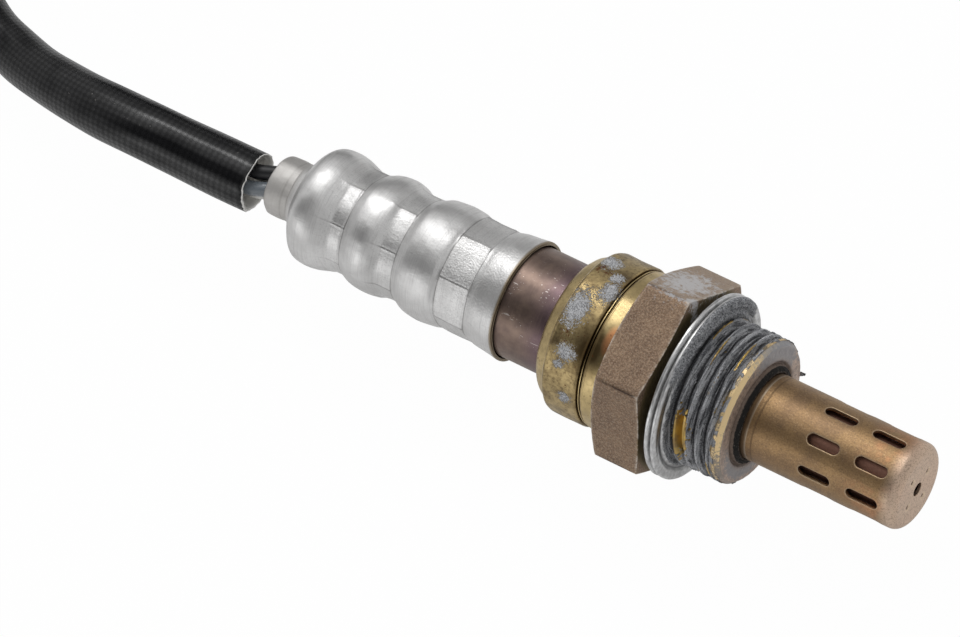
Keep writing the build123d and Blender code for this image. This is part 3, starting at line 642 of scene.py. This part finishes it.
paste = Finish("thread_zinc")
drag = paste.noise((3.2, 0.20, 0.20), 4.0, 0.7, 0.3)
crystals = paste.grain(7.0)
fine = paste.noise(6.0, 3.0, 0.7)
patchy = paste.noise(0.8, 3.0, 0.6)
mask = (paste.painted("covered") - paste.painted("crest") * 0.9 + (fine - 0.5) * 0.8).between(0.40, 0.60)
grey = paste.layers(
    (0.110, 0.113, 0.123),
    (drag.between(0.40, 0.60), (0.52, 0.525, 0.545)),
    (crystals.between(0.5, 1.0) * 0.6, (0.46, 0.46, 0.47)),
    (fine.between(0.53, 0.66) * 0.85, (0.040, 0.041, 0.046)),
    (patchy.between(0.5, 0.7) * 0.3, (0.30, 0.31, 0.33)),
    # Painted shade in the roots and furrows.
    ((paste.painted("root") + (fine - 0.5) * 0.9).between(0.15, 0.95) * 0.93, (0.018, 0.018, 0.021)))
tan = paste.blend((patchy * 0.5 + fine * 0.5).between(0.44, 0.54), (0.74, 0.56, 0.31), (0.27, 0.225, 0.165))
gold = paste.layers((0.50, 0.345, 0.105), (patchy.between(0.35, 0.65), (0.31, 0.215, 0.105)),
                    (paste.painted("land"), tan), (mask, grey))
paste.wear(Base_Color=gold, Metallic=1.0 - mask * 0.75,
           Roughness=0.27 + mask * 0.28 + fine * 0.12 + paste.painted("land") * (1.0 - mask) * 0.18,
           Normal=paste.bump(drag * mask, 0.07, paste.bump(fine * mask, 0.13, paste.bump(fine, 0.008))))
piece("shell_thread", [thread_sheet], paste, "shell_steel", "hex_shell", sharp=80)


# ---- Shell: nose ----
# The thread ends in a plain land and a flat face. A groove and a lip, rolled in against the
# protection tube, hold the tube; the lip is blackened, painted shade darkens the face into the
# groove, and crumbs of paste sit round them.
nose_line = run_through(
    [(THREAD_END, 8.99), (NOSE_X, 8.5), (NOSE_X, 6.7), (NOSE_X - 0.35, 6.35), (NOSE_X + 0.25, 6.1),
     (NOSE_X + 0.62, 5.72), (NOSE_X + 0.62, 5.40), (NOSE_X + 0.1, 5.37)],
    [0.12, 0.10, 0.12, 0.12, 0.15, 0.10], [5, 22, 6, 8, 8, 5, 4])
nose_x, nose_r, nose_angle = grid(nose_line, 300)
lip_dark = (1 - step(5.98, 6.25, nose_r)) * (0.5 + 0.5 * step(5.62, 5.74, nose_r))
grit = lumps(nose_r * 2, nose_angle, 0.5, 21) * lip_dark
nose_x = nose_x + 0.035 * grit + 0.01 * lumps(nose_r, nose_angle, 1.2, 22)
# Painted light: the land's chamfer is painted golder and brighter on its upper side, and only faintly gold
# below.
land_lit = held(smear(0.0, nose_angle, 0.0, 95, 1.0, 85))
chamfer_gold_and_light = step(8.42, 8.6, nose_r) * (0.15 + 1.1 * land_lit)
grey_side = smears_at(nose_r, nose_angle, (7.6, 30, 2.2, 48), (6.9, 200, 1.6, 60))
nose_sheet = Sheet(turned(nose_x, nose_r, nose_angle), dark=lip_dark, shaded=1 - step(6.2, 7.3, nose_r),
                   gold=chamfer_gold_and_light, paste=grey_side)

face = Finish("nose_zinc", Specular_IOR_Level=0.3)
rings = face.noise(2.2, 4.0, 0.7)
fine = face.noise(6.0, 3.0, 0.7)
white_flecks = face.noise(2.2, 3.0, 0.7).between(0.60, 0.68)
# The gold on the land carries painted light on its upper side.
gold_and_light, shaded = face.painted("gold"), face.painted("shaded")
on_land = gold_and_light.between(0.0, 0.3)
tanned = (gold_and_light + (rings - 0.5) * 1.5 + (fine - 0.5) * 0.8).between(0.35, 0.75) * on_land
greyish = (face.painted("paste") + (rings - 0.5) * 1.6).between(0.0, 0.4)
sooty = face.blend(white_flecks * 0.35, (0.008, 0.007, 0.006), (0.26, 0.24, 0.20))
lip = (face.painted("dark") + (fine - 0.5) * 0.6).between(0.3, 0.6)
pink = face.layers(
    (0.60, 0.48, 0.40),
    (rings.between(0.3, 0.7), (0.30, 0.235, 0.205)),
    (on_land * 0.8, (0.21, 0.195, 0.175)),
    (tanned, (0.80, 0.61, 0.34)),
    (shaded * 0.75, (0.085, 0.058, 0.042)),
    (greyish * (1.0 - shaded) * 0.8, (0.30, 0.305, 0.325)),
    (lip, sooty))
face.wear(Base_Color=pink, Metallic=0.7 - lip * 0.7 - greyish * 0.15,
          Roughness=0.40 + fine * 0.2 + lip * 0.3, Normal=face.bump(fine, 0.03, face.bump(rings, 0.03)))
piece("shell_nose", [nose_sheet], face, "shell_steel", "hex_shell")

# Flakes of dried paste stand off the thread's end and lie in its run-out: x, degrees, radius, half
# the height and half the width of each.
FLAKES = ((7.0, -36, 8.75, 0.42, 0.30), (5.7, 22, 9.02, 0.25, 0.55), (4.4, 12, 9.05, 0.2, 0.6),
          (6.2, 8, 8.95, 0.35, 0.45), (3.0, 172, 9.0, 0.2, 0.5), (6.3, 176, 8.9, 0.35, 0.35),
          (1.4, 98, 8.95, 0.25, 0.7))
flake_sheets = []
for number, (x_at, degrees, r_at, tall, wide) in enumerate(FLAKES):
    u, v = np.linspace(0, pi, 9)[:, None], circle(12)[None, :]
    ragged = 1 + 0.35 * lumps(u * 2, v, 1.2, 40 + number, radius=1.0)
    out = np.cos(u) * tall * ragged
    around = radians(degrees) + np.sin(u) * np.cos(v) * wide * ragged / r_at
    flake_r = r_at + np.sin(u) * np.sin(v) * 0.12 + (out * 0.35 if tall > 0.4 else 0.0)
    # Each flake carries a little of the roots' painted shade.
    flake_sheets.append(Sheet(
        turned(x_at + out, flake_r, around)[:, ::-1], covered=1.0, crest=0.0, root=0.3, land=0.0))
piece("thread_paste_flakes", flake_sheets, paste, "shell_steel", "hex_shell", sharp=80)


# ---- Crush gasket ----
# Folded from one strip of steel, open at its rim, and captive on the neck behind the thread.
# The front fold is daubed with cracked grey paste above and nearly clean below, where the valley in its front
# face is painted dark as shade.
GASKET_THICK, GASKET_RIM = 1.6, 11.5
gasket_line = run_through(
    [(-0.75, 8.25), (-1.3, 8.25), (-1.58, 8.5), (-GASKET_THICK, 10.9), (-1.42, GASKET_RIM),
     (-1.02, GASKET_RIM), (-0.84, 11.05), (-0.86, 10.85), (-0.74, 10.85), (-0.76, 11.05),
     (-0.56, GASKET_RIM), (-0.20, GASKET_RIM), (0.0, 11.05), (-0.05, 10.7), (-0.02, 10.45),
     (-0.26, 10.1), (-0.26, 9.8), (0.0, 9.5), (-0.32, 8.45), (-0.72, 8.25)],
    [0.1, 0.15, 0.3, 0.18, 0.18, 0.05, 0.02, 0.02, 0.05, 0.18, 0.18, 0.2, 0.15, 0.12, 0.12, 0.1, 0.1, 0.1],
    [3, 3, 12, 3, 3, 3, 2, 2, 2, 3, 3, 3, 5, 4, 5, 4, 4, 6, 4])
gasket_x, gasket_r, gasket_angle = grid(gasket_line, 360)
front = step(-0.5, -0.2, gasket_x)
upper = smear(0.0, gasket_angle, 0.0, 50, 1.0, 62) * 1.6
near_thread = 1 - step(9.3, 9.8, gasket_r)
daub = front * np.clip(np.maximum(upper, near_thread * 0.8 - 0.25), -1, 1) - (1 - front)
# Painted shade in the valley of the front face, where the paste leaves it bare.
valley_shade = band(gasket_r, 9.95, 0.20) * front * held(1 - upper)
lumpy = 0.14 + 0.07 * lumps(gasket_r, gasket_angle, 0.9, 31) + 0.04 * lumps(gasket_r, gasket_angle, 0.3, 32)
daubed_x = gasket_x + held(daub) * lumpy * front
uneven_r = np.minimum(gasket_r + 0.012 * lumps(gasket_x, gasket_angle, 3.0, 33), GASKET_RIM)

gasket = Finish("gasket_steel")
spun = gasket.noise((4.0, 1.2, 1.2), 3.0, 0.6)
cracks = gasket.node("TexVoronoi", {"feature": "DISTANCE_TO_EDGE"}, Vector=gasket.place(), Scale=1.1)
cracks = cracks.between(0.0, 0.05)
broken = gasket.noise(0.9, 5.0, 0.7)
fine = gasket.noise(5.0, 4.0, 0.75)
mask = (gasket.painted("daub") + (broken - 0.5) * 1.1).between(0.05, 0.25)
dry = gasket.layers((0.50, 0.505, 0.525), (fine.between(0.36, 0.62), (0.115, 0.12, 0.13)),
                    ((1.0 - cracks) * broken.between(0.5, 0.6), (0.03, 0.03, 0.033)))
bright = gasket.layers(
    (0.66, 0.66, 0.66), (spun.between(0.3, 0.7), (0.42, 0.42, 0.42)),
    # Painted shade in the front face's valley.
    (gasket.painted("valley_shade") * 0.9, (0.035, 0.035, 0.038)), (mask, dry))
gasket.wear(Base_Color=bright, Metallic=1.0 - mask * 0.85,
            Roughness=0.30 + mask * 0.3 + spun * 0.12,
            Normal=gasket.bump(fine * mask, 0.10, gasket.bump(cracks * mask, 0.05, gasket.bump(spun, 0.012))))
gasket_sheet = Sheet(turned(daubed_x, uneven_r, gasket_angle), daub=daub, valley_shade=valley_shade)
piece("crush_gasket", [gasket_sheet], gasket, "gasket_steel", "seal_gasket", sharp=60)


# ---- Outer protection tube ----
# Deep-drawn cap of heat-resisting steel, flanged inside the shell. Two rows of eight slots are
# pierced round it, and one hole and four pips in its end. Exhaust heat has left it bronze.
# The pips in the end are painted with a highlight on each rim and shade in each middle.
TUBE_RADIUS, TUBE_WALL, TUBE_TIP, TUBE_CORNER, HOLE_RADIUS = 5.35, 0.45, 28.3, 1.2, 0.85
PIP_CIRCLE, PIP_RADIUS = 2.4, 0.43
SLOT_ROWS, SLOT_LENGTH, SLOT_WIDTH, SLOT_PHASE, SLOTS = (17.6, 24.0), 4.2, 1.37, 9.0, 8
CELL_REAR, CELL_FRONT, MARGIN = 3.2, {17.6: 3.2, 24.0: 2.6}, 0.16


def slot_cell(x_at, turn):
    """A patch of wall round one slot: rows run from the patch's rectangular rim to the slot's edge,
    over it, down the slot's wall, and back out to the rectangle on the tube's inside.

    Each quarter of the slot's rim is a quarter circle and then a straight; the same share of the
    patch's rim is its end and then its side, so the two are joined without crossing."""
    quarter, part = np.divmod(np.arange(96) / 24.0, 1.0)
    part = 2 * np.where(quarter % 2 == 1, 1 - part, part)
    bend, straight = held(part) * pi / 2, held(part - 1)
    forward = np.where((quarter == 1) | (quarter == 2), -1, 1)
    sideways = np.where(quarter >= 2, -1, 1)
    patch_x = (1 - straight) * np.where(forward > 0, CELL_FRONT[x_at], -CELL_REAR)
    patch_turn = held(part) * sideways * pi / SLOTS

    def rim(outside):
        end = SLOT_WIDTH / 2
        return ((((SLOT_LENGTH / 2 - end) * (1 - straight) + (end + outside) * np.cos(bend)) * forward),
                (end + outside) * np.sin(bend) * sideways / TUBE_RADIUS)

    over_edge = [(0.10, 0.004), (0.05, 0.02), (0.015, 0.05), (0, 0.1), (0, 0.3), (0, 0.41), (0.04, TUBE_WALL)]
    steps = [(share, MARGIN, 0) for share in (0, 0.3, 0.55, 0.75, 0.9, 1)]
    steps += [(1, outside, depth) for outside, depth in over_edge]
    steps += [(share, MARGIN, TUBE_WALL) for share in (0.7, 0.35, 0)]
    rows = []
    for share, outside, depth in steps:
        slot_x, slot_turn = rim(outside)
        rows.append(turned(x_at + patch_x + share * (slot_x - patch_x), TUBE_RADIUS - depth,
                           turn + patch_turn + share * (slot_turn - patch_turn)))
    return Sheet(np.stack(rows)[:, ::-1], lip=band(np.arange(16)[:, None], 7.5, 1.6))


root_line = run_through(
    [(6.9, TUBE_RADIUS), (9.05, TUBE_RADIUS), (9.15, TUBE_RADIUS - 0.02),
     (9.25, TUBE_RADIUS), (SLOT_ROWS[0] - CELL_REAR, TUBE_RADIUS)],
    [0.05, 0.05, 0.05], [10, 3, 3, 20])
bend = np.linspace(0, pi / 2, 16)[:, None]
corner = TUBE_CORNER * np.hstack([np.sin(bend), np.cos(bend)])
corner = corner + (TUBE_TIP - TUBE_CORNER, TUBE_RADIUS - TUBE_CORNER)
face_line = run_through(
    [(TUBE_TIP, TUBE_RADIUS - TUBE_CORNER - 0.07), (TUBE_TIP, HOLE_RADIUS),
     (TUBE_TIP - TUBE_WALL, HOLE_RADIUS), (TUBE_TIP - TUBE_WALL, 4.0)],
    [0.10, 0.05], [48, 5, 8])
end_line = np.concatenate([[(SLOT_ROWS[1] + CELL_FRONT[24.0], TUBE_RADIUS)], corner, face_line])
end_x, end_r, end_angle = grid(end_line, 256)
outer_face = end_x > TUBE_TIP - 0.1
# Painted light round the pips: a highlight on each rim and shade in each middle.
pip_highlight_and_shade = 0.0
for pip_y, pip_z in ((PIP_CIRCLE, 0), (0, PIP_CIRCLE), (-PIP_CIRCLE, 0), (0, -PIP_CIRCLE)):
    away = np.hypot(end_r * np.cos(end_angle) - pip_y, end_r * np.sin(end_angle) - pip_z)
    dimple = np.sqrt(held(0.25 - away ** 2)) - 0.25
    end_x = end_x - np.where((away < PIP_RADIUS) & outer_face, dimple, 0)
    pip_highlight_and_shade = pip_highlight_and_shade + (band(away, PIP_RADIUS, 0.09) - (away < 0.30)) * outer_face
tube_sheets = [Sheet(turned(*grid(root_line, 160)), lip=0.0)]
tube_sheets += [slot_cell(row, radians(90 + SLOT_PHASE + 360 / SLOTS * number)) for row in SLOT_ROWS
                for number in range(SLOTS)]
tube_sheets.append(Sheet(turned(end_x, end_r, end_angle), lip=np.clip(1.8 * pip_highlight_and_shade, -1, 1.8)))

bronze = Finish("tube_steel", Metallic=1.0)
along = bronze.axis()
drawn = bronze.noise((0.35, 2.5, 2.5), 3.0, 0.6)
grain = bronze.noise(5.0, 4.0, 0.75)
stain_and_reflection = bronze.noise(0.28, 4.0, 0.62)
rings = bronze.noise((1.6, 0.12, 0.12), 2.0, 0.6)
seam = along.between(8.05, 8.2) * (1.0 - along.between(8.35, 8.5))
turned_line = along.between(8.95, 9.05) * (1.0 - along.between(9.15, 9.25))
# Darker at the tube's root by the shell's lip, in faint rings, and along the turned line.
root_darkening = (1.0 - along.between(8.15, 8.5)) * 0.8 + rings.between(0.60, 0.75) * 0.25 + turned_line * 0.6
warm = bronze.layers(
    (0.348, 0.222, 0.109),
    (stain_and_reflection.between(0.32, 0.68), (0.246, 0.158, 0.088)),
    (along.between(20.0, 25.5) * stain_and_reflection.between(0.42, 0.62) * 0.75, (0.52, 0.26, 0.125)),
    (along.between(25.6, 27.8) * 0.85, (0.68, 0.525, 0.41)),
    (grain.between(0.46, 0.66) * 0.55, (0.135, 0.095, 0.068)),
    ((1.0 - grain.between(0.30, 0.44)) * 0.5, (0.50, 0.37, 0.24)),
    # Lighter along the slots' edges, and a painted highlight round each pip's rim.
    (bronze.painted("lip") * 0.36, (0.78, 0.64, 0.47)),
    # Painted shade in the middle of each pip.
    (bronze.painted("lip") * -0.8, (0.05, 0.035, 0.028)),
    (seam * 0.6, (0.72, 0.63, 0.50)),
    (root_darkening, (0.13, 0.085, 0.05)))
bronze.wear(Base_Color=warm, Roughness=0.36 + grain * 0.12 + drawn * 0.06,
            Normal=bronze.bump(grain, 0.018, bronze.bump(drawn, 0.012)))
piece("protection_tube", tube_sheets, bronze, "tube_steel", "outer_protection_tube", sharp=60)


# ---- Inside the sensing end ----
# A second drawn cap shows through the slots, darker and redder. Behind it sit the zirconia element,
# its heater and contacts, and the talc, ceramic and washers that seal it into the shell.
def grainy(name, first, second, scale, depth, roughness, **constants):
    """An even material with a fine grain between two colours, and that grain as its texture."""
    made = Finish(name, Roughness=roughness, **constants)
    fine, wide = made.noise(scale, 4.0, 0.65), made.noise(scale * 0.12, 3.0)
    return made.wear(Base_Color=made.blend(fine * 0.6 + wide * 0.4, first, second),
                     Roughness=roughness - 0.08 + fine * 0.16, Normal=made.bump(fine, depth))


def dress(nodes, name, *grain, **constants):
    """Gives CAD nodes that keep their shape an even, grainy material."""
    finish = grainy(name, *grain, **constants)
    for node in nodes.split():
        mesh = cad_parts[node].data
        mesh.materials.clear()
        mesh.materials.append(finish.material)


dress("inner_protection_tube", "inner_tube_steel", (0.34, 0.175, 0.12), (0.20, 0.105, 0.08), 3.0, 0.02, 0.45,
      Metallic=0.85)
dress("zirconia_element", "zirconia", (0.80, 0.79, 0.75), (0.68, 0.66, 0.62), 6.0, 0.01, 0.55)
dress("talc_ring", "talc", (0.62, 0.62, 0.60), (0.48, 0.49, 0.48), 5.0, 0.04, 0.85)
dress("ceramic_bush ceramic_separator", "steatite", (0.82, 0.79, 0.72), (0.70, 0.67, 0.61), 4.0, 0.02, 0.5)
dress("packing_washer crimp_washer spring_ring", "washer_steel", (0.52, 0.52, 0.53), (0.40, 0.40, 0.41),
      2.5, 0.01, 0.35, Metallic=1.0)
dress("heater_rod", "alumina", (0.83, 0.82, 0.80), (0.74, 0.73, 0.71), 5.0, 0.01, 0.4)
dress("signal_contact ground_contact terminal_black terminal_grey terminal_white_a terminal_white_b",
      "contact_steel", (0.66, 0.62, 0.55), (0.54, 0.50, 0.44), 3.0, 0.01, 0.3, Metallic=1.0)


# ---- Wires ----
# Four PTFE-covered wires leave the cover's neck through a rubber grommet: black and grey for the
# signal, two white for the heater. They step down a little on their way into the braid's mouth.
WIRE_RADIUS, WIRE_CIRCLE, LEAD_Y, NECK_END, MOUTH_X = 0.9, 1.5, -0.95, -60.3, -63.2


def tube(path, radius, columns):
    """Rings of that radius, square to a path that never runs upright, each starting on its left."""
    ahead = np.gradient(path, axis=0)
    ahead /= np.linalg.norm(ahead, axis=1, keepdims=True)
    left = np.cross((0.0, 0.0, 1.0), ahead)
    left /= np.linalg.norm(left, axis=1, keepdims=True)
    up = np.cross(ahead, left)
    angle = circle(columns)[None, :, None]
    radius = np.broadcast_to(radius, path.shape[:1])[:, None, None]
    return path[:, None] + radius * (np.cos(angle) * left[:, None] + np.sin(angle) * up[:, None])


dress("cable_grommet", "grommet_rubber", (0.022, 0.022, 0.022), (0.04, 0.04, 0.04), 3.0, 0.03, 0.6)
wire_x = np.linspace(-55.5, -69.5, 60)
radii = np.full(60, WIRE_RADIUS)
radii[[0, -1]] = 0.02
WHITE = (0.74, 0.73, 0.70), (0.66, 0.65, 0.62)
for wire, degrees, colour, shade in (
        ("black", 54.5, (0.006, 0.006, 0.007), (0.014, 0.014, 0.016)),
        ("grey", 144.5, (0.20, 0.225, 0.25), (0.15, 0.17, 0.19)),
        ("white_a", 324.5, *WHITE), ("white_b", 234.5, *WHITE)):
    drop = LEAD_Y * step(-NECK_END - 0.3, -MOUTH_X + 0.6, -wire_x)
    path = np.stack([wire_x, WIRE_CIRCLE * cos(radians(degrees)) + drop,
                     np.full_like(wire_x, WIRE_CIRCLE * sin(radians(degrees)))], axis=1)
    gloss = 0.0 if wire == "black" else 0.3
    plastic = grainy("wire_" + wire, colour, shade, 2.0, 0.01, 0.42 - gloss / 2, Coat_Weight=gloss)
    piece("wire_" + wire + "_cover", [Sheet(tube(path, radii, 28))], plastic, "wire_" + wire.split("_")[0],
          "wire_" + wire)


# ---- Braided lead ----
# Varnished fibreglass braid, black outside and white where it is cut, loosely round the wires.
# It leaves the neck in line, lies down on the floor and ends in a tied coil of 2 1/3 turns.
LEAD_DIAMETER, LEAD_RADIUS, MOUTH_RADIUS, BRAID_WALL, LAID_Z = 6.0, 3.0, 3.68, 0.34, -8.5
route = [(MOUTH_X, LEAD_Y, 0), (-75.0, LEAD_Y, 0), (-81.5, LEAD_Y, 0), (-89.0, -0.75, -1.7),
         (-97.0, 0.2, -4.2), (-105.2, 2.0, -6.6), (-114.2, 6.4, -8.3), (-121.6, 13.1, LAID_Z),
         (-126.6, 22.6, LAID_Z), (-129.2, 35.0, LAID_Z), (-129.4, 44.4, LAID_Z)]
COIL_X, COIL_Y, COIL_RADIUS = -95.5, 59.0, 31.0
for turned_by in range(12, 850, 15):
    inward, upward = step(305, 360, turned_by), step(610, 665, turned_by)
    reach, bearing = COIL_RADIUS + LEAD_RADIUS * (1 - 2 * inward + upward), radians(195.0 - turned_by)
    route.append((COIL_X + reach * cos(bearing), COIL_Y + reach * sin(bearing), LAID_Z + 5.2 * upward))
route += [(-75.6, 82.7, -4.7), (-66.3, 81.9, -4.4), (-57.6, 81.6, -4.0), (-48.6, 81.6, -4.0)]

line = bpy.data.curves.new("lead_line", "CURVE")
line.dimensions = "3D"
spline = line.splines.new("NURBS")
spline.points.add(len(route) - 1)
spline.points.foreach_set("co", np.array([(x * MM, y * MM, z * MM, 1.0) for x, y, z in route]).ravel())
spline.order_u = 3
spline.use_endpoint_u = True
line.resolution_u = 16
line_object = bpy.data.objects.new("lead_line", line)
bare_line = bpy.data.meshes.new_from_object(line_object)
lead_path = np.array([vertex.co for vertex in bare_line.vertices]) / MM
bpy.data.objects.remove(line_object)
bpy.data.meshes.remove(bare_line)

run = np.concatenate([[0.0], np.cumsum(np.linalg.norm(np.diff(lead_path, axis=0), axis=1))])
even, braid_angle = np.arange(0.0, run[-1], 0.5), circle(72)
even_path = np.stack([np.interp(even, run, lead_path[:, axis]) for axis in range(3)], axis=1)
near_mouth = 1 - step(4.0, 60.0, even)
loose = LEAD_RADIUS + (MOUTH_RADIUS - LEAD_RADIUS) * near_mouth
skin = tube(even_path, loose, 72)
slack = lumps(even[:, None], braid_angle, 12.0, 51, radius=LEAD_RADIUS) * 0.04
slack = slack * (1 - step(60, 90, even))[:, None]
skin = even_path[:, None] + (skin - even_path[:, None]) * (1 + slack / LEAD_RADIUS)[..., None]
skin[..., 1] -= 0.16 * near_mouth[:, None]
ragged = (0.07 * lumps(0.0, braid_angle, 2.4, 52, radius=LEAD_RADIUS)
          + 0.05 * lumps(0.0, braid_angle, 0.9, 53, radius=LEAD_RADIUS) + 0.30 * np.cos(braid_angle - 0.6))
mouth_depth = np.array([0.0, 0.3, 0.8, 1.5, 2.5, 3.5, 4.5])
mouth_path = np.stack([MOUTH_X - mouth_depth, np.full(7, LEAD_Y), np.zeros(7)], axis=1)
hollow = tube(mouth_path, MOUTH_RADIUS - BRAID_WALL, 72)[::-1]
share = np.array([0.35, 0.75])[:, None, None]
lip_rows = hollow[-1] * (1 - share) + skin[0] * share + 0.12 * np.sin(share * pi) * (1.0, 0.0, 0.0)
braid_points = np.concatenate([hollow, lip_rows, skin, even_path[-1:, None] + 0 * skin[-1:]])
rows_run = np.concatenate([-mouth_depth[::-1] - 1.2, [-0.9, -0.5], even, even[-1:]])[:, None]
pulled = np.exp(-np.clip(MOUTH_X - braid_points[..., 0], 0, 99) / 1.5) * (np.abs(rows_run) < 12)
braid_points[..., 0] += ragged * pulled
braid_map = np.stack(np.broadcast_arrays(np.linspace(0, 1, 73)[None, :], rows_run), axis=-1)

braid = Finish("braid", Coat_Roughness=0.27, Specular_IOR_Level=0.03)


def unrolled(around, along):
    """The braid's own map: turns round it and millimetres along it, each times its factor."""
    own_map = braid.node("UVMap", {"uv_map": "unrolled"})
    return braid.node("Mapping", None, own_map, Scale=(around, along, 1.0))


CARRIERS, LAY = 16, 0.62
flat = unrolled(2 * pi * CARRIERS, 2 * pi * LAY)
round_it, forward = braid.axis(0, flat), braid.axis(1, flat)
weave = (round_it + forward).maths("SINE") * (round_it - forward).maths("SINE") * 0.5 + 0.5
yarn = braid.noise(1.0, 3.0, 0.65, spot=unrolled(60.0, 3.2))
gloss = braid.noise(1.0, 3.0, 0.6, spot=unrolled(5.0, 0.16))
dust = braid.noise(1.7, 3.0, 0.75).between(0.66, 0.72)
inward = braid.axis(1, unrolled(1.0, -1.0))
cut_white = (inward + (yarn - 0.5) * 0.4).between(0.05, 0.35)
black = braid.layers(
    (0.002, 0.002, 0.0025),
    (weave * 0.5 + yarn * 0.5, (0.005, 0.005, 0.006)),
    (dust * gloss.between(0.45, 0.6) * 0.5, (0.30, 0.29, 0.27)),
    (cut_white, (0.88, 0.87, 0.84)))
braid.wear(Base_Color=black,
           Coat_Weight=(0.58 + weave.between(0.3, 0.8) * 0.34) * gloss.between(0.0, 0.6) * (1.0 - cut_white),
           Roughness=0.34 + yarn * 0.16 + cut_white * 0.4,
           Normal=braid.bump(weave, 0.04, braid.bump(yarn, 0.03)))
lead = piece("braided_lead_cover", [Sheet(braid_points, unrolled=braid_map)], braid, "lead_braid",
             "braided_lead", "lead_coil", "lead_tail", sharp=80)


# ---- Tie and plug ----
# A nylon tie holds the coil. The lead ends in a sealed four-way plug: a rubber boot over the
# wires, a silicone seal, a moulded nylon housing with its latch, and tinned terminals behind
# a coloured lock plate.
dress("coil_tie", "tie_nylon", (0.025, 0.025, 0.026), (0.045, 0.045, 0.046), 2.0, 0.01, 0.42)
dress("plug_boot", "boot_rubber", (0.018, 0.018, 0.019), (0.035, 0.035, 0.036), 3.0, 0.03, 0.62)
dress("plug_wire_seal", "seal_silicone", (0.42, 0.13, 0.05), (0.34, 0.10, 0.04), 2.0, 0.01, 0.45)
dress("plug_housing", "plug_nylon", (0.030, 0.031, 0.034), (0.050, 0.051, 0.055), 6.0, 0.02, 0.48)
dress("plug_lock", "lock_nylon", (0.20, 0.21, 0.22), (0.16, 0.17, 0.18), 4.0, 0.01, 0.45)
dress("plug_terminal_1 plug_terminal_2 plug_terminal_3 plug_terminal_4", "terminal_tin",
      (0.72, 0.71, 0.68), (0.58, 0.57, 0.55), 3.0, 0.01, 0.28, Metallic=1.0)
